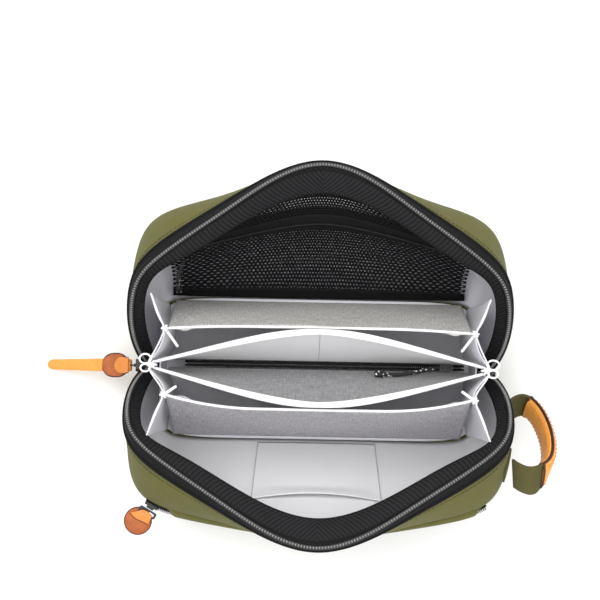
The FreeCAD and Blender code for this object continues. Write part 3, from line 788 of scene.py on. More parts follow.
@dataclass
class FrontDetails:
    """What only the front shell has: slip pocket inside, zipped pocket outside, handle anchors."""

    shell: Shell
    seam_at: float = 0.088

    def build_slip_pocket(self) -> None:
        """Pale panel over the lining with a bowed opening and two upright seams with bar-tacks."""
        shell, wardrobe = self.shell, self.shell.wardrobe
        u, v = np.linspace(0.5 - self.seam_at, 0.5 + self.seam_at, 121), np.linspace(0, 1, 41)[:, None]
        across = (u[None] - 0.5) / self.seam_at
        dip = np.clip(1 - across ** 2, 0, 1)
        height = 0.03 + v * (0.40 - 0.03)
        depth = shell.skin + shell.foam + shell.lining + 3 * shell.gap + 0.3
        lift = 4.5 * dip ** 1.1 * smooth_step(0.70, 1.0, v)
        outer, inner = (shell.at(u, height, depth + lift + more) for more in (0.0, 0.6))
        panel = slab("slip_pocket_panel", outer, inner, wardrobe["lining_white"], shell.cloth_uv(outer))
        shell.bend(panel, "lining", "front_slip_pocket")
        hem = tube("slip_pocket_hem", inner[-1], 0.55, 0.75, UP, wardrobe["lining_white"], 8)
        shell.bend(hem, "lining")
        for sign, name in ((-1, "left"), (1, "right")):
            at = np.linspace(0.03, 0.41, 60)
            line = np.stack([shell.at(np.array([0.5 + sign * self.seam_at]), np.array([[h]]), depth + 0.9)[0, 0]
                             for h in at])
            row = stitches("slip_pocket_seam_" + name, line, np.array([1.0, 0.0, 0.0]),
                           wardrobe["thread_grey"], 2.4, 0.55)
            shell.bend(row, "lining")
            corner = line[-1]
            tack = np.stack([corner, corner + (sign * 1.0, 0.6, 5.0), corner + (-sign * 5.5, -0.4, 1.2),
                             corner])
            row = stitches("slip_pocket_tack_" + name, tack, np.array([0.0, 1.0, 0.3]),
                           wardrobe["thread_grey"], 1.4, 0.45)
            shell.bend(row, "lining")

    def build_outer_pocket(self) -> None:
        """Canvas flap of the outside pocket, zip tape and coil above it."""
        shell, wardrobe = self.shell, self.shell.wardrobe
        u, v = np.linspace(0.275, 0.725, 121), np.linspace(0.10, 0.585, 31)[:, None]
        slack = wave_noise((u[None] - 0.5) * 240, v * 120, 7.0, 55.0) * 0.35 - shell.ripple(u, v)
        outer, inner = shell.at(u, v, slack - 1.75), shell.at(u, v, slack - 0.3)
        flap = slab("outer_pocket_flap", outer, inner, wardrobe["canvas"], shell.cloth_uv(outer))
        shell.bend(flap, "canvas", "outer_pocket_bag")
        u, v = np.linspace(0.25, 0.75, 181), np.linspace(0.583, 0.632, 5)[:, None]
        slack = -shell.ripple(u, v)
        outer, inner = shell.at(u, v, slack - 1.5), shell.at(u, v, slack - 0.2)
        tape = slab("outer_pocket_tape", outer, inner, wardrobe["zip_tape"], shell.cloth_uv(outer))
        shell.bend(tape, "zip_tape", "outer_pocket_zip_tape")
        dense = np.linspace(0.252, 0.748, 900)
        line = shell.at(dense, np.full((1, 900), 0.608), -shell.ripple(dense, np.array([[0.608]])) - 1.7)[0]
        u, v = np.linspace(0.292, 0.74, 141), np.linspace(0, 1, 11)[:, None]
        slack = -shell.ripple(u, 0.60 + v * 0.06)
        stand = (3.4 * np.sin((1 - v) * math.pi * 0.5) ** 0.6
                 * smooth_step(0.292, 0.31, u)[None] * smooth_step(0, 0.02, 0.74 - u)[None])
        outer, inner = (shell.at(u, 0.595 + v * 0.065, slack - 0.5 - stand + more) for more in (0.0, 0.45))
        cover = slab("outer_pocket_cover", outer, inner, wardrobe["canvas"], shell.cloth_uv(outer))
        shell.bend(cover, "canvas")
        self.shell_coil("outer_pocket_coil", line, UP, "outer_pocket_zip_coil")

    def shell_coil(self, name: str, line: Array, up: Array, node: str) -> None:
        """Coil of a pocket zip: slanted loops along a line."""
        path = even_path(line, 0.65)
        tangent, side, normal = frames(path, up)
        slant = np.where(np.arange(len(path)) % 2, 0.25, -0.25)[:, None]
        axes = np.stack([unit(tangent + side * slant), side, normal], 1)
        coil = scatter(name, pebble(0.9, 3.0, 1.0, 6), path[::2], axes[::2], self.shell.wardrobe["coil_black"])
        self.shell.bend(coil, "zip_coil", node)

    def build_anchors(self) -> None:
        """Webbing patches where the handle is sewn down."""
        shell, wardrobe = self.shell, self.shell.wardrobe
        places = ((0.894, 0.95, 0.40, 0.60), (0.812, 0.863, 0.64, 0.80))
        points = []
        for k, (u0, u1, v0, v1) in enumerate(places):
            u, v = np.linspace(u0, u1, 13), np.linspace(v0, v1, 9)[:, None]
            slack = -shell.ripple(u, v)
            outer, inner = shell.at(u, v, slack - 1.5), shell.at(u, v, slack - 0.1)
            patch = slab(f"handle_patch_{k}", outer, inner, wardrobe["webbing"], shell.cloth_uv(outer))
            dress(patch, "front_shell", "webbing", *(["handle_anchors"] if k == 0 else []))
            points.append(outer)
        LOG.info("handle patches at %s", [p.mean((0, 1)).round().tolist() for p in points])

    def build(self) -> None:
        """All front details."""
        self.build_slip_pocket()
        self.build_outer_pocket()
        self.build_anchors()


@dataclass
class MeshPocket:
    """Pocket of open mesh on the back shell: lower sheet, zip, upper strip."""

    shell: Shell
    foot: tuple = ((-100, 50.5, 7), (-66, 50.5, 7), (-33, 50.5, 7), (0, 50.5, 7))
    belly: tuple = ((-98, 68, 30), (-66, 75, 32), (-33, 80, 34), (0, 80, 34))
    zip_line: tuple = ((-101, 72.5, 55), (-66, 81.5, 59.5), (-31, 89, 64), (0, 93.5, 66))
    top: tuple = ((-88, 76, 86), (-58, 93, 92), (-24, 108, 98), (0, 112, 100))
    cell: float = 3.0
    hole: float = 0.62

    def sheet_at(self, rows: tuple, s: Array, t: Array) -> Array:
        """Points of a sheet through two or three rows: a Bezier in t of cubic splines in s."""
        u = basis(7, 3, s)
        curves = [u @ np.array(whole_loop(list(row)), float) for row in rows]
        t = t[:, None]
        if len(curves) == 2:
            return (1 - t) * curves[0] + t * curves[1]
        return (1 - t) ** 2 * curves[0] + 2 * t * (1 - t) * curves[1] + t * t * curves[2]

    def knit(self, name: str, rows: tuple, width: float, height: float, t0: float,
             t1: float) -> bpy.types.Object:
        """Sheet with real holes: each cell is a ring of 12 quads between its border and an oval hole.

        Every second row of cells is shifted by half a cell, so that the border points still meet.
        """
        columns = int(width / self.cell)
        lines = int(height / (self.cell * 1.05))
        border = np.array([(0, 0), (.25, 0), (.5, 0), (.75, 0), (1, 0), (1, .5), (1, 1), (.75, 1), (.5, 1),
                           (.25, 1), (0, 1), (0, .5)])
        angle = np.arctan2(border[:, 1] - 0.5, border[:, 0] - 0.5)
        hole = 0.5 + 0.5 * self.hole * np.stack([np.cos(angle), np.sin(angle)], 1)
        cell = np.concatenate([border, hole])
        i, j = np.meshgrid(np.arange(lines), np.arange(columns), indexing="ij")
        x = (j + 0.5 * (i % 2)).ravel()[:, None] + cell[None, :, 0]
        y = i.ravel()[:, None] + cell[None, :, 1]
        s = (x / (columns + 0.5)).ravel()
        t = t0 + (y / lines).ravel() * (t1 - t0)
        points = self.sheet_at(rows, s, t)
        ring = np.arange(12)
        quads = np.stack([ring, (ring + 1) % 12, 12 + (ring + 1) % 12, 12 + ring], 1)
        faces = (quads[None] + (np.arange(lines * columns) * 24)[:, None, None]).reshape(-1, 4)
        uv = np.stack([s * width, t * height], 1)
        piece = add_mesh(name, points, faces.tolist(), uv, self.shell.wardrobe["mesh"])
        weld = piece.modifiers.new("weld", "WELD")
        weld.merge_threshold = 0.00002
        thick = piece.modifiers.new("thick", "SOLIDIFY")
        thick.thickness = 0.45 * MM
        thick.offset = 0
        return piece

    def build_shade_sheet_and_lining_strip(self) -> None:
        """Painted shade: a dark sheet behind the upper mesh for the lining in shadow, and the pale lining strip
        that shows through.
        """
        s = np.linspace(0, 1, 121)
        # the first sheet is painted shade: mesh-black cloth standing in for the white lining in shadow; the
        # second is the lining's own pale colour
        for name, low, high, finish in (("mesh_backing", 0.20, 0.47, "mesh"),
                                        ("mesh_backing_pale", 0.47, 0.72, "tape_white")):
            grid = np.stack([self.sheet_at((self.zip_line, self.top), s,
                                           np.full(121, t)) for t in np.linspace(low, high, 6)])
            grid = grid + np.array([0.0, 1.0, 0.6])
            sheet = slab(name, grid + np.array([0.0, 0.3, 0.3]), grid, self.shell.wardrobe[finish],
                         self.shell.cloth_uv(grid))
            self.shell.bend(sheet, "mesh" if finish == "mesh" else "tape_white")

    def build(self) -> None:
        """Lower and upper mesh, the black hems, the zip between them."""
        shell, wardrobe = self.shell, self.shell.wardrobe
        lower = self.knit("mesh_lower", (self.foot, self.belly, self.zip_line), 196, 66, 0.07, 0.96)
        shell.bend(lower, "mesh", "mesh_pocket_panel")
        upper = self.knit("mesh_upper", (self.zip_line, self.top), 176, 36, 0.22, 1.0)
        shell.bend(upper, "mesh", "mesh_upper_panel")
        self.build_shade_sheet_and_lining_strip()
        s = np.linspace(0, 1, 121)
        bands = {
            "mesh_hem_low": ((self.foot, self.belly, self.zip_line), -0.02, 0.085, None),
            "mesh_zip_hem": ((self.foot, self.belly, self.zip_line), 0.94, 1.0, None),
            "mesh_tape": ((self.zip_line, self.top), 0.0, 0.32, "mesh_zip_tape"),
            "mesh_top_hem": ((self.zip_line, self.top), 0.95, 1.03, None),
        }
        for name, (rows, low, high, node) in bands.items():
            grid = np.stack([self.sheet_at(rows, s, np.full(121, t)) for t in np.linspace(low, high, 6)])
            inner = grid - np.array([0.0, 0.9, 0.0])
            band = slab(name, grid + np.array([0.0, 0.15, 0.0]), inner, wardrobe["zip_tape"],
                        shell.cloth_uv(grid))
            shell.bend(band, "zip_tape", *([node] if node else []))
        line = self.sheet_at((self.zip_line, self.top), np.linspace(0.02, 0.98, 900), np.full(900, 0.10))
        path = even_path(line - np.array([0.0, 1.3, 0.0]), 0.65)
        tangent, side, normal = frames(path, np.array([0.0, 0.7, 0.7]))
        slant = np.where(np.arange(len(path)) % 2, 0.25, -0.25)[:, None]
        axes = np.stack([unit(tangent + side * slant), side, normal], 1)
        coil = scatter("mesh_coil", pebble(0.9, 3.0, 1.0, 6), path[::2], axes[::2], wardrobe["coil_black"])
        shell.bend(coil, "zip_coil", "mesh_zip_coil")


# The organizer between the shells

@dataclass
class Organizer:
    """Dividers, centre pocket, white tapes, gussets and knots that stand on the base."""

    wardrobe: Wardrobe
    half_low: float = 98.0
    half_high: float = 95.0
    top_z: float = 86.0
    thick: float = 1.6

    def divider_edge(self, side: Side) -> tuple[Array, Array]:
        """Foot and top edge of a divider, as splines."""
        y_base, y_top, y_end = {Side.BACK: (46.0, 25.5, 23.5), Side.FRONT: (-46.0, -27.5, -20.0)}[side]
        s = np.linspace(0, 1, 141)
        shares = (-1, -0.7, -0.3, 0, 0.3, 0.7, 1)
        foot = spline([(k * self.half_low, y_base, 5.0) for k in shares], s)
        ends = (y_end, y_top, y_top, y_top, y_top, y_top, y_end)
        head = spline([(k * self.half_high, y, self.top_z) for k, y in zip(shares, ends)], s)
        return foot, head

    def build_divider(self, side: Side) -> None:
        """Padded divider with soft creases in its corners, puffed, and its bound top edge."""
        foot, head = self.divider_edge(side)
        sign = side.value
        v = np.linspace(0, 0.985, 45)[:, None, None]
        flat = foot[None] + v * (head - foot)[None]
        x, z = flat[..., 0], flat[..., 2]
        crease = np.exp(-((np.abs(x) - 84 - (86 - z) * 0.18) / 4.0) ** 2) * smooth_step(30, 75, z) * 1.6
        soft = wave_noise(x, z, 3.0 + sign, 80.0) * 0.45 - crease
        soft = soft * smooth_step(0, 12, z - 5) * smooth_step(0, 4, self.half_high - np.abs(x))
        shift = np.zeros_like(flat)
        shift[..., 1] = soft * sign
        outer = flat + shift
        inner = flat + shift - np.array([0.0, sign * self.thick, 0.0])
        finish = "melange_warm" if side is Side.BACK else "melange_cool"
        name = side.word + "_divider_pad"
        pad = slab(name, outer, inner, self.wardrobe[finish])
        rows, columns = outer.shape[:2]
        pinned = np.zeros((2, rows, columns), bool)
        pinned[:, :2] = pinned[:, -2:] = pinned[:, :, :2] = pinned[:, :, -2:] = True
        inflate(pad, pinned.ravel(), 0.8, 0.9)
        dress(pad, "base", "melange", side.word + "_divider")
        edge = head + np.array([0.0, -sign * self.thick / 2, -0.6])
        band = tube(side.word + "_divider_tape", edge, 0.85, 1.5, UP, self.wardrobe["tape_white"], 12, 0.8)
        dress(band, "base", "tape_white", side.word + "_divider_binding")

    def lip(self, side: Side) -> list:
        """Control points of half of the centre pocket's lip."""
        return {
            Side.BACK: [(-106, 1.2, 68), (-78, 8, 78), (-36, 18.5, 88), (0, 23, 90)],
            Side.FRONT: [(-106, -1.2, 68), (-78, -9, 78), (-36, -20, 88), (0, -24.5, 90)],
        }[side]

    def wall_rows(self, side: Side) -> list[Array]:
        """Rows of the pocket wall: foot, zip line, belly and lip, as splines."""
        s = np.linspace(0, 1, 161)
        throat, belly = {Side.BACK: (4.8, 9.0), Side.FRONT: (-0.8, -8.0)}[side]
        lip = np.array(whole_loop(self.lip(side)), float)
        x = lip[:, 0] * 0.93
        foot = np.stack([x, np.full(7, throat), np.full(7, 5.0)], 1)
        line = np.stack([x, np.full(7, throat), np.full(7, 40.0)], 1)
        bulge = np.stack([x, belly * np.where(np.abs(x) < 80, 1.0, 0.75), np.full(7, 55.0)], 1)
        return [spline(row, s) for row in (foot, line, bulge, lip)]

    def build_pocket_wall(self, side: Side) -> None:
        """One wall of the centre pocket and the wide tape along its lip."""
        foot, line, bulge, lip = self.wall_rows(side)
        sign = side.value
        low = np.linspace(0, 1, 9)[:-1, None, None] * (line - foot)[None] + foot[None]
        v = np.linspace(0, 1, 25)[:, None, None]
        high = (1 - v) ** 2 * line[None] + 2 * v * (1 - v) * bulge[None] + v * v * lip[None]
        wall = np.concatenate([low, high])
        finish = "lining_white" if side is Side.BACK else "melange_dark"
        inner = wall + np.array([0.0, sign * 0.9, 0.0])
        piece = slab(side.word + "_centre_wall", wall, inner, self.wardrobe[finish])
        dress(piece, "base", "lining" if side is Side.BACK else "melange", side.word + "_pocket_wall")
        if side is Side.BACK:
            seam = even_path(wall[10:, wall.shape[1] // 2] - (0.0, 0.2, 0.0), 0.6)
            row = stitches("centre_wall_seam", seam, np.array([0.0, -1.0, 0.0]), self.wardrobe["thread_grey"],
                           2.2, 0.5)
            dress(row, "base", "lining")
        lip_band = lip + np.array([0.0, sign * 0.45, -0.4])
        s = np.linspace(0, 1, len(lip_band))
        wide = 0.7 + (1.1 + 0.7 * np.abs(np.sin(2 * math.pi * s))) * np.sin(s * math.pi) ** 0.6
        band = tube(side.word + "_lip_tape", lip_band, wide, 1.0, np.array([0.0, sign * 0.35, 1.0]),
                    self.wardrobe["tape_white"],
                    14, 0.75)
        dress(band, "base", "tape_white", side.word + "_lip_binding")

    def build_centre_zip(self) -> None:
        """Zip along the bottom of the centre pocket's mouth, and the floor under it."""
        x = np.linspace(-88, 96, 60)
        for k, (y0, y1) in enumerate(((0.2, 1.5), (2.5, 4.0))):
            grid = np.stack([np.stack([x, np.full(60, y), np.full(60, 40.0)], 1) for y in np.linspace(y0, y1,
                                                                                                      4)])
            tape = slab(f"centre_tape_{k}", grid, grid - np.array([0, 0, 0.8]), self.wardrobe["zip_tape"])
            dress(tape, "base", "zip_tape", *(["centre_zip_tape"] if k == 0 else []))
        path = np.stack([np.arange(-86, 94, 1.3), np.full(139, 2.0), np.full(139, 39.8)], 1)
        axes = np.broadcast_to(np.array([[0.97, 0.25, 0], [-0.25, 0.97, 0], [0, 0, 1]]), (139, 3, 3))
        coil = scatter("centre_coil", pebble(0.9, 1.3, 1.0, 6), path, axes, self.wardrobe["coil_black"])
        dress(coil, "base", "zip_coil", "centre_zip_coil")
        grid = np.stack([np.stack([x * 0.98 - 2, np.full(60, y), np.full(60, 4.9)],
                                  1) for y in np.linspace(-0.5, 4.5, 4)])
        floor = slab("centre_floor", grid, grid - np.array([0, 0, 0.5]), self.wardrobe["lining"])
        dress(floor, "base", "lining", "centre_pocket_floor")

    def gusset(self, name: str, tops: list, feet: list, bow: float) -> tuple[Array, Array]:
        """Curved sheet from a top edge down to a foot edge.

        Args:
            name: what the log calls it.
            tops: control points of the top edge.
            feet: control points of the foot edge.
            bow: how far the sheet bows along X half way down, in millimetres.

        Returns:
            Its grid of points and its top edge.
        """
        s = np.linspace(0, 1, 41)
        top, foot = spline(tops, s), spline(feet, s)
        v = np.linspace(0, 1, 25)[:, None, None]
        grid = foot[None] * (1 - v) + top[None] * v
        fold = np.sin(v[..., 0] * math.pi) * bow + np.sin(s[None] * math.pi) * bow * 0.6
        grid[..., 0] += fold
        LOG.info("%s gusset, %.0f mm along its top", name, arc_lengths(top)[-1])
        return grid, top

    def build_end(self, sign: int) -> None:
        """Gussets, their white edges and the tied knots at one end of the pouch."""
        word = "left" if sign < 0 else "right"
        back_knot = np.array([sign * 97.0, 22.5, 86.5])
        front_knot = np.array([sign * 97.0, -19.0, 86.5])
        middle = np.array([sign * 108.5, 0.0, 69.0])
        edges = {
            "back_wall": [back_knot, (sign * 101.0, 30, 88), (sign * 106.0, 44, 91)],
            "back_middle": [back_knot, (sign * 100.5, 14, 82), (sign * 104.5, 8, 75), middle + (0, 2.5, 0)],
            "front_wall": [front_knot, (sign * 99.5, -26, 87), (sign * 103.5, -36, 88),
                           (sign * 106.5, -45, 92)],
            "front_middle": [front_knot, (sign * 97.5, -14, 83), (sign * 104.5, -9, 74), middle - (0, 2.5, 0)],
        }
        for key, top in edges.items():
            way = 1 if key.startswith("back") else -1
            wall = key.endswith("wall")
            near = (sign * 98.5, way * 30, 6)
            far = (sign * 102.5, way * 43, 6) if wall else (sign * 101, way * 6, 6)
            grid, edge = self.gusset(f"{word} {key}", top, [near, tuple((np.array(near) + far) / 2), far],
                                     sign * (2.0 if wall else -2.2))
            sheet = slab(f"gusset_{word}_{key}", grid, grid - np.array([sign * 0.6, 0, 0]),
                         self.wardrobe["lining"])
            dress(sheet, "base", "lining", *([f"gussets_{word}"] if key == "back_wall" else []))
            hem = tube(f"gusset_tape_{word}_{key}", edge, 0.55, 0.75, UP, self.wardrobe["tape_white"], 10)
            dress(hem, "base", "tape_white")
        self.build_knots(sign, word, back_knot, front_knot, middle)

    def build_knots(self, sign: int, word: str, back_knot: Array, front_knot: Array, middle: Array) -> None:
        """Tied tape: little balls of wrapped cord, short tails, and the two loops in the middle."""
        white = self.wardrobe["tape_white"]
        turn = np.linspace(0, 2 * math.pi, 37)[:-1]
        rings = []
        for k, (centre, size) in enumerate(((back_knot, 2.0), (front_knot, 2.0),
                                            (middle - (sign * 2.0, 0, 0), 2.7))):
            for tilt in (0.0, 1.1, 2.2):
                ring = np.stack([np.cos(turn) * math.cos(tilt), np.cos(turn) * math.sin(tilt), np.sin(turn)],
                                1) * size
                rings.append(tube(f"knot_{word}_{k}_{int(tilt * 10)}", centre + ring, 0.75, 0.75,
                                  np.array([math.sin(tilt), -math.cos(tilt), 0.01]),
                                  white, 8, 1.0, True))
        for k, (y, size) in enumerate(((4.6, 3.0), (-2.6, 2.4))):
            centre = middle + np.array([sign * 2.2, y * 0.8, 2.0])
            ring = centre + np.stack([np.cos(turn) * size * 1.25, np.sin(turn) * size, np.cos(turn) * 0.8], 1)
            rings.append(tube(f"loop_{word}_{k}", ring, 0.6, 0.6, UP, white, 8, 1.0, True))
        tails = ((back_knot, (-sign * 7.5, -11.0, -8.0)), (front_knot, (-sign * 7.5, 5.5, -4.5)))
        for k, (knot, reach) in enumerate(tails):
            path = spline([knot, knot + np.array(reach) * 0.5 + (0, 0, 1.0), knot + np.array(reach)],
                          np.linspace(0, 1, 20))
            rings.append(tube(f"tail_{word}_{k}", path, 0.9, 0.4, UP, white, 8))
        for k, ring in enumerate(rings):
            dress(ring, "base", "tape_white", *([f"tape_knots_{word}"] if k == 0 else []))

    def build(self) -> None:
        """The whole organizer."""
        for side in Side:
            self.build_divider(side)
            self.build_pocket_wall(side)
        self.build_centre_zip()
        for sign in (-1, 1):
            self.build_end(sign)


@dataclass
class BasePanel:
    """Bottom of the pouch: canvas, stiffener, lining, end webs and zip stops."""

    wardrobe: Wardrobe

    def plate(self, name: str, shrink: float, low: float, high: float, finish: str) -> bpy.types.Object:
        """Flat piece with the outline of the base: a grid between its front and back edge splines."""
        half = [(x + shrink, max(y - shrink, 0), z) for x, y, z in BASE_ROW]
        loop = spline(whole_loop(half), np.linspace(0, 1, 121))
        share = np.linspace(-1, 1, 41)[:, None]
        top = np.stack([np.broadcast_to(loop[:, 0], (41, 121)), share * loop[:, 1], np.full((41, 121), high)],
                       2)
        bottom = top - np.array([0, 0, high - low])
        return slab(name, top, bottom, self.wardrobe[finish])

    def build(self) -> None:
        """Makes the plates and dresses the small CAD parts that keep their own mesh."""
        dress(self.plate("bottom_canvas", 0.0, 0.05, 1.2, "canvas"), "base", "canvas", "base_panel")
        dress(self.plate("stiffener", 8.0, 1.3, 3.4, "board"), "base", "board", "base_board")
        dress(self.plate("bottom_lining", 4.2, 3.5, 4.2, "lining"), "base", "lining", "base_lining")
        for sign, word in ((-1, "left"), (1, "right")):
            y, v = np.linspace(-34, 34, 41), np.linspace(0, 1, 12)[:, None]
            top_y = y * 0.27
            grid = np.stack([np.broadcast_to(sign * (104.5 + v * 1.5 + np.sin(v * math.pi) * 0.8), (12, 41)),
                             y[None] * (1 - v) + top_y[None] * v, 4.6 + v * (24.0 - 0.004 * y[None] ** 2)], 2)
            web = slab("end_web_" + word, grid, grid - np.array([sign * 1.0, 0, 0]), self.wardrobe["lining"])
            dress(web, "base", "lining", *(["end_webs"] if sign < 0 else []))
        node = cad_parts["zip_end_stops"]
        node.data.materials.clear()
        node.data.materials.append(self.wardrobe["coil_black"])


# Zip sliders, pulls and cords

def redress(node: str, finish: "bpy.types.Material") -> None:
    """Gives a CAD node that keeps its shape its finish."""
    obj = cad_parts[node]
    obj.data.materials.clear()
    obj.data.materials.append(finish)


def nurbs_line(name: str, route: list) -> Array:
    """Points of the smooth line through a cord's route, which are its NURBS control points."""
    curve = bpy.data.curves.new(name, "CURVE")
    curve.dimensions = "3D"
    curve.resolution_u = 12
    piece = curve.splines.new("NURBS")
    piece.points.add(len(route) - 1)
    for point, place in zip(piece.points, route):
        point.co = (*(c * MM for c in place), 1.0)
    piece.order_u = 3
    piece.use_endpoint_u = True
    holder = bpy.data.objects.new(name, curve)
    bpy.context.scene.collection.objects.link(holder)
    bpy.context.view_layer.update()
    mesh = bpy.data.meshes.new_from_object(holder.evaluated_get(bpy.context.evaluated_depsgraph_get()))
    points = np.array([v.co for v in mesh.vertices], float) / MM
    bpy.data.objects.remove(holder)
    bpy.data.meshes.remove(mesh)
    return points


@dataclass
class CordPull:
    """Flecked cord pull on a slider, with a wrapped end."""

    name: str
    route: tuple
    body: str
    cord_node: str
    knot_node: str
    wardrobe: Wardrobe
    radius: float = 1.3

    def build(self) -> None:
        """Braided cord along its route and its end knot."""
        line = nurbs_line(self.name + "_line", self.route)
        path = even_path(line, 0.7)
        swell = self.radius * (1 + 0.05 * np.sin(np.arange(len(path)) * 1.9))
        up = np.array([0.0, 1.0, 0.3]) if abs(self.route[0][1]
                                              - self.route[-1][1]) < 8 else np.array([1.0, 0.0, 0.0])
        cord = tube(self.name + "_cord", path, swell, swell, up, self.wardrobe["cord"], 14)
        dress(cord, self.body, "cord", self.cord_node)
        way = unit(np.array(self.route[-1], float) - np.array(self.route[-2], float))
        start = np.array(self.route[-1], float)
        s = np.linspace(0, 1, 22)
        axis = start + way * (s[:, None] * 7.0 - 0.3)
        lump = 2.35 * np.sqrt(np.clip(1 - (2 * s - 1) ** 6, 0.05, 1)) * (1 + 0.09 * np.sin(s * 26))
        knot = tube(self.name + "_end", axis, lump, lump, up, self.wardrobe["cord"], 14)
        dress(knot, self.body, "cord", self.knot_node)
        length = float(arc_lengths(np.array(line))[-1]) * MM
        tuple(line[0] * MM)
        2 * self.radius * MM


@dataclass
class MainPull:
    """Slider of the main zip with its suede oval and long smooth leather tail."""

    wardrobe: Wardrobe
    pivot: tuple = (-124.2, 0.0, 29.5)
    slope: float = 22.0

    def place(self, points: Array) -> Array:
        """Turns points drawn flat, with X outwards from the ring, down by the slope about the ring."""
        a = math.radians(self.slope)
        out, across, up = points[..., 0], points[..., 1], points[..., 2]
        x = self.pivot[0] - (out * math.cos(a) + up * math.sin(a))
        z = self.pivot[2] - out * math.sin(a) + up * math.cos(a)
        return np.stack([x, across, z], -1)

    def pad(self, name: str, start: float, end: float, half: Array, low: Array, high: Array, finish: str,
            crown: float) -> bpy.types.Object:
        """Leather piece: a grid of stations with a half width each, crowned on top.

        Args:
            name: name of the piece.
            start: where it begins, outwards from the ring, in millimetres.
            end: where it ends.
            half: half width at each station.
            low: height of its underside at each station.
            high: height of its top at each station.
            finish: its finish's name.
            crown: how much its middle stands above its edges.

        Returns:
            The piece.
        """
        n = len(half)
        s = np.linspace(start, end, n)[:, None]
        e = np.linspace(-1, 1, 25)[None]
        rounding = (1 - np.abs(e) ** 8)
        top = np.stack([np.broadcast_to(s, (n, 25)), half[:, None] * e,
                        high[:, None] + crown * (1 - e ** 2) * rounding - 0.2 * (1 - rounding)], 2)
        bottom = np.stack([np.broadcast_to(s, (n, 25)), half[:, None] * e,
                           np.broadcast_to(low[:, None], (n, 25)) + 0.0 * e], 2)
        return slab(name, self.place(top), self.place(bottom), self.wardrobe[finish])

    def build(self) -> None:
        """Slider, ring, suede oval with its painted edge, smooth patch, tail and the leather fold round the
        ring.
        """
        redress("main_slider", self.wardrobe["slider"])
        redress("main_bail", self.wardrobe["slider"])
        s = np.linspace(-1, 1, 61)
        oval = 7.7 * np.clip(1 - np.abs(s) ** 2.6, 0.0,
                             1) ** 0.46 * (1 - 0.10 * smooth_step(-0.2, -1.0, s)) + 0.05
        flat = np.full(61, 0.0)
        top = self.pad("pull_oval", 2.0, 22.0, oval, flat + 0.05, flat + 1.5, "suede", 0.25)
        dress(top, "main_pull", "leather_suede", "leather_oval")
        out = np.linspace(2.0, 22.0, 61)
        edge = np.concatenate([np.stack([out, oval, flat + 0.8], 1),
                               np.stack([out[::-1], -oval[::-1], flat + 0.8], 1)])
        paint = tube("pull_oval_edge", even_path(self.place(edge), 0.5), 0.5, 0.85, UP,
                     self.wardrobe["edge_paint"], 8)
        dress(paint, "main_pull", "leather_suede")
        t = np.linspace(0, 1, 90)
        end_round = np.sqrt(np.clip(1 - np.clip((t - 0.93) / 0.07, 0, 1) ** 2, 0.0, 1))
        width = (4.15 - 0.85 * smooth_step(0.35, 1.0, t)) * end_round + 0.05
        width *= 1 + 0.02 * np.sin(t * 9)
        lift = (0.9 * np.sin(t * 3.0) + 0.4 * np.sin(t * 7.5)) * smooth_step(0.35, 0.6, t)
        tail = self.pad("pull_tail", 5.0, 65.8, width, lift - 1.6, lift - 0.1, "leather_pale_and_painted_light", 0.35)
        dress(tail, "main_pull", "leather_smooth", "leather_strip")
        reach = np.linspace(-1, 1, 41)
        cover = 5.3 * np.clip(1 - np.clip(reach, 0, 1) ** 2.4, 0,
                              1) ** 0.5 * (1 - 0.12 * smooth_step(-0.3, -1.0, reach)) + 0.05
        level = 1.6 + 0.9 * smooth_step(0.2, -1.0, reach)
        patch = self.pad("pull_patch", 1.2, 12.2, cover, level - 0.4, level + 0.75, "leather", 0.5)
        dress(patch, "main_pull", "leather_smooth")
        seat = self.pad("pull_patch_shadow", 1.6, 12.9, cover + 0.55, level - 0.55, level - 0.1, "edge_paint",
                        0.0)
        dress(seat, "main_pull", "leather_suede")
        wrap = np.array([(3.4, 0.0, -1.6), (1.2, 0.0, -1.2), (0.2, 0.0, 0.4), (1.0, 0.0, 2.0), (3.2, 0.0, 2.6)])
        loop = spline([tuple(p) for p in wrap], np.linspace(0, 1, 24))
        fold = tube("pull_fold", self.place(loop), 0.7, 4.0, np.array([0.0, 1.0, 0.001]),
                    self.wardrobe["leather"], 12, 0.8)
        dress(fold, "main_pull", "leather_smooth")


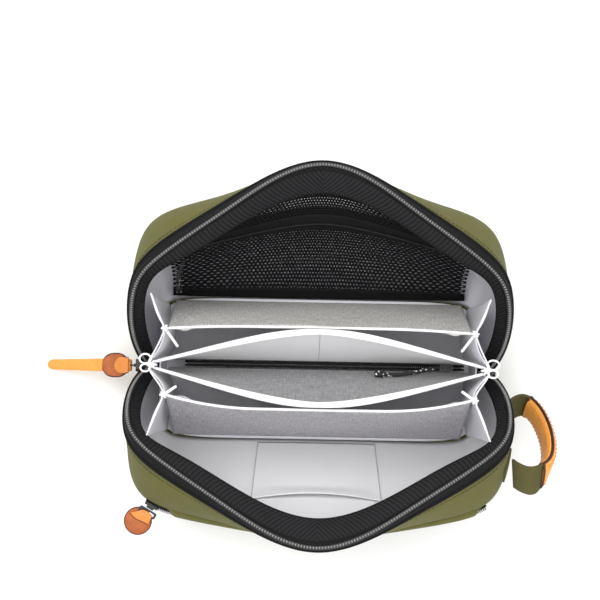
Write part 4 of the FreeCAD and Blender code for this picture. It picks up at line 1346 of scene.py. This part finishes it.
@dataclass
class PocketSlider:
    """Slider of the outer pocket with its flat wire loop and round leather tab."""

    wardrobe: Wardrobe
    at: tuple = (-105.5, -90.3, 62.6)
    turn: float = -30.0
    tab_radius: float = 8.6

    def place(self, points: Array) -> Array:
        """Turns points drawn about the slider, facing the front, round the corner and puts them there."""
        a = math.radians(self.turn)
        x, y, z = points[..., 0], points[..., 1], points[..., 2]
        return np.stack([x * math.cos(a) - y * math.sin(a), x * math.sin(a) + y * math.cos(a), z],
                        -1) + np.array(self.at)

    def build(self) -> None:
        """Metal parts keep their CAD shape; the tab is suede with a smooth fold and painted edge."""
        redress("outer_pocket_slider", self.wardrobe["slider"])
        redress("outer_pocket_bail", self.wardrobe["slider"])
        centre = np.array([-2.5, -3.6 - self.tab_radius, -1.65])
        turn, share = np.linspace(0, 2 * math.pi, 61), np.linspace(0, 1, 16)[:, None]
        ring = self.tab_radius * share
        dome = 0.25 * (1 - share ** 2) - 0.35 * share ** 10
        flat = [ring * np.cos(turn), ring * np.sin(turn)]
        top = np.stack([*flat, np.broadcast_to(0.85 + dome, (16, 61))], 2) + centre
        low = np.stack([*flat, np.broadcast_to(-0.9 + 0.3 * share ** 10, (16, 61))], 2) + centre
        tab = slab("tab_suede", self.place(top), self.place(low), self.wardrobe["suede"])
        dress(tab, "pocket_tab", "leather_suede", "outer_pocket_tab")
        rim = centre + np.stack([np.cos(turn[:-1]), np.sin(turn[:-1]), np.zeros(60)], 1) * self.tab_radius
        edge = tube("tab_edge", self.place(rim), 0.4, 0.9, UP, self.wardrobe["edge_paint"], 8, 1.0, True)
        dress(edge, "pocket_tab", "leather_suede")
        e = np.linspace(-1, 1, 41)
        near = np.stack([2.5 + 3.7 * e, 7.6 + 0.9 * (1 - e ** 2)], 1)
        far = np.stack([6.9 * e, 0.6 + 1.0 * np.abs(e) ** 1.5 + 0.25 * np.sin(e * 4.0)], 1)
        reach = np.linspace(0, 1, 13)[:, None, None]
        sheet = near[None] * (1 - reach) + far[None] * reach
        lift = 0.95 + 1.75 * (1 - reach[..., 0]) ** 0.7 * (1 - 0.3 * e[None] ** 2) + 0.5 * np.sin(reach[..., 0]
                                                                                                  * math.pi)
        top = np.concatenate([sheet, lift[..., None]], 2) + centre
        low = np.concatenate([sheet, (lift - 0.7)[..., None]], 2) + centre
        dress(slab("tab_fold", self.place(top), self.place(low), self.wardrobe["leather"]), "pocket_tab",
              "leather_smooth")
        crease = np.concatenate([far, np.full((41, 1), 0.95)], 1) + centre
        line = tube("tab_fold_edge", self.place(crease), 0.3, 0.3, UP, self.wardrobe["edge_paint"], 6)
        dress(line, "pocket_tab", "leather_suede")


@dataclass
class Handle:
    """Webbing loop with a folded leather grip on the right end of the front shell."""

    wardrobe: Wardrobe
    line: tuple = ((125.0, -27.0, 36.5), (133, -20, 32), (141.5, -21.5, 37), (148, -37, 51), (149, -52, 64),
                   (142, -66.5, 77),
                   (132, -70.5, 80.5), (123.3, -64, 74.5))

    def across(self, at: Array) -> Array:
        """Direction of the strap's width: near upright along the grip, flat at the shell."""
        flat = smooth_step(0.62, 0.95, at)[:, None]
        start = smooth_step(0.30, 0.0, at)[:, None]
        upright = np.array([0.12, 0.52, 0.85])
        return unit(upright * (1 - flat) * (1 - start) + np.array([-0.10, 0.93, 0.32]) * flat
                    + np.array([0.0, 0.80, 0.60]) * start)

    def strap(self, name: str, low: float, high: float, under: float, over: float, half: float, finish: str,
              curl: float = 0.0) -> bpy.types.Object:
        """Band that follows the handle's line between two shares of it, between two heights above it.

        Args:
            name: name of the piece.
            low: share of the line where it starts.
            high: share where it ends.
            under: height of its lower face above the line.
            over: height of its upper face.
            half: half width.
            finish: its finish's name.
            curl: how far its edges bend towards the line, in millimetres.

        Returns:
            The band.
        """
        at = np.linspace(low, high, 110)
        path = spline(list(self.line), at)
        across = self.across(at)
        tangent = unit(np.gradient(path, axis=0))
        normal = unit(np.cross(tangent, across))
        e = np.linspace(-1, 1, 25)
        way = math.copysign(1, over)
        heights = (np.full(25, under), over - way * curl * np.abs(e) ** 4)
        grids = [path[None] + across[None] * (e * half)[:, None, None] + normal[None]
                 * height[:, None, None] for height in heights]
        return slab(name, grids[0], grids[1], self.wardrobe[finish])

    def grip_line(self, low: float, high: float, side: float, lift: float) -> Array:
        """Line along the grip at a share of its half width and a height."""
        at = np.linspace(low, high, 80)
        path = spline(list(self.line), at)
        across = self.across(at)
        normal = unit(np.cross(unit(np.gradient(path, axis=0)), across))
        return path + across * side + normal * lift

    def build(self) -> None:
        """Webbing, two leather layers folded together at the sides, painted edges and stitching."""
        web = self.strap("handle_strap", 0.0, 1.0, -0.9, 0.9, 9.4, "webbing")
        dress(web, "handle", "webbing", "handle_webbing")
        # both grip layers use the lighter leather copy: painted light lifting the grip out of its shade
        upper = self.strap("grip_upper", 0.17, 0.80, 1.0, 3.6, 9.2, "leather_pale_and_painted_light", 2.4)
        dress(upper, "handle", "leather_smooth", "handle_grip")
        lower = self.strap("grip_lower", 0.17, 0.80, -1.0, -3.6, 9.2, "leather_pale_and_painted_light", 2.4)
        dress(lower, "handle", "leather_smooth")
        upright = np.array([0.3, 0.2, 1.0])
        for k, side in enumerate((-9.2, 9.2)):
            seam = tube(f"grip_edge_{k}", self.grip_line(0.17, 0.80, side, 0.0), 0.8, 1.6, upright,
                        self.wardrobe["edge_paint"], 8)
            dress(seam, "handle", "leather_smooth")
            for m, lift in enumerate((-3.0, 3.0)):
                row = stitches(f"grip_stitching_{k}_{m}", self.grip_line(0.19, 0.78, side * 0.78, lift),
                               upright,
                               self.wardrobe["leather"], 3.2, 0.6)
                dress(row, "handle", "leather_smooth")
        for k, share in enumerate((0.17, 0.80)):
            for m, lift in enumerate((-2.3, 2.3)):
                centre = spline(list(self.line), np.array([share - 0.004, share, share + 0.004]))
                across = self.across(np.array([share]))[0]
                normal = unit(np.cross(unit(centre[2] - centre[0]), across))
                e = np.linspace(-9.2, 9.2, 30)
                line = centre[1] + across * e[:,
                                              None] + normal * lift * (1 - 0.45 * np.abs(e[:, None] / 9.2) ** 4)
                dress(tube(f"grip_end_{k}_{m}", line, 0.55, 1.35, unit(centre[2] - centre[0]) + (0, 0, 0.01),
                           self.wardrobe["edge_paint"], 8),
                      "handle", "leather_smooth")


# Stage

@dataclass
class Studio:
    """Pale floor, soft lights and the camera, high in front and looking almost straight down."""

    height: float = 905.0
    tilt: float = 4.0
    lens: float = 78.6
    roll: float = 1.1
    world_strength: float = 0.75
    lamps: tuple = (("overhead", (0.0, 0.05, 1.6), 2.6, 30.0), ("key", (-0.45, 0.55, 1.3), 0.9, 7.0),
                    ("fill", (0.8, -0.6, 1.1), 1.4, 4.0))
    eye_x: float = -13.0
    eye_y: float = -15.4
    floor_half: float = 4000.0

    def build(self) -> None:
        """Makes the floor, the lights, the world and the camera."""
        scene = bpy.context.scene
        floor = add_mesh("floor", np.array([(-1, -1, 0), (1, -1, 0), (1, 1, 0), (-1, 1, 0)], float)
                         * self.floor_half,
                         [[0, 1, 2, 3]], None, self.floor_finish())
        world = bpy.data.worlds.new("studio")
        scene.world = world
        world.use_nodes = True
        world.node_tree.nodes["Background"].inputs[0].default_value = (1.0, 1.0, 1.0, 1.0)
        world.node_tree.nodes["Background"].inputs[1].default_value = self.world_strength
        for name, place, size, power in self.lamps:
            light = bpy.data.lights.new(name, "AREA")
            light.energy, light.size = power, size
            lamp = bpy.data.objects.new(name, light)
            lamp.location = place
            lamp.rotation_euler = (-Vector(place)).to_track_quat("-Z", "Y").to_euler()
            scene.collection.objects.link(lamp)
        camera = bpy.data.cameras.new("camera")
        camera.lens = self.lens
        camera.clip_start, camera.clip_end = 0.01, 20.0
        eye = bpy.data.objects.new("camera", camera)
        eye.location = (self.eye_x * MM, self.eye_y * MM, self.height * MM)
        eye.rotation_mode = "XYZ"
        turn = math.radians(self.tilt)
        eye.rotation_euler = (Matrix.Rotation(turn, 4, "X") @ Matrix.Rotation(math.radians(self.roll), 4,
                                                                              "Z")).to_euler()
        scene.collection.objects.link(eye)
        scene.camera = eye
        scene.view_settings.view_transform = "Standard"

    def floor_finish(self) -> bpy.types.Material:
        """Plain pale floor."""
        made = Shader("floor_pale")
        made.shader.inputs["Base Color"].default_value = (0.92, 0.92, 0.92, 1.0)
        made.shader.inputs["Roughness"].default_value = 0.9
        return made.material


# Control points of the two cord routes, shared with the CAD solids
MESH_ROUTE = ((-89.5, 68.6, 52.4), (-91.0, 66.2, 46.6), (-92.8, 62.2, 40.8), (-94.2, 57.8, 35.2),
              (-95.0, 54.6, 29.0), (-95.2, 53.2, 22.5))
CENTRE_ROUTE = ((78.4, 2.0, 44.2), (73.0, 1.2, 46.0), (66.0, -0.6, 48.0), (58.0, -2.4, 49.4),
                (50.0, -3.4, 50.2), (43.0, -3.0, 50.6))


def main() -> None:
    """Builds every sub-assembly in order."""
    logging.basicConfig(level=logging.INFO, format="%(name)s %(message)s")
    wardrobe = Wardrobe()
    Studio().build()
    CordPull("mesh_flecked", MESH_ROUTE, "mesh_pull", "mesh_pull_cord", "mesh_pull_knot", wardrobe).build()
    CordPull("centre_flecked", CENTRE_ROUTE, "centre_pull", "centre_pull_cord", "centre_pull_knot",
             wardrobe).build()
    shells = {side: Shell(side, wardrobe, BASE_ROW, MID_ROW[side], RIM_ROW[side]) for side in Side}
    for shell in shells.values():
        shell.build()
    FrontDetails(shells[Side.FRONT]).build()
    MeshPocket(shells[Side.BACK]).build()
    BasePanel(wardrobe).build()
    Organizer(wardrobe).build()
    MainPull(wardrobe).build()
    PocketSlider(wardrobe).build()
    redress("mesh_slider", wardrobe["slider"])
    redress("centre_slider", wardrobe["slider"])
    Handle(wardrobe).build()


if __name__ == "__main__":
    main()
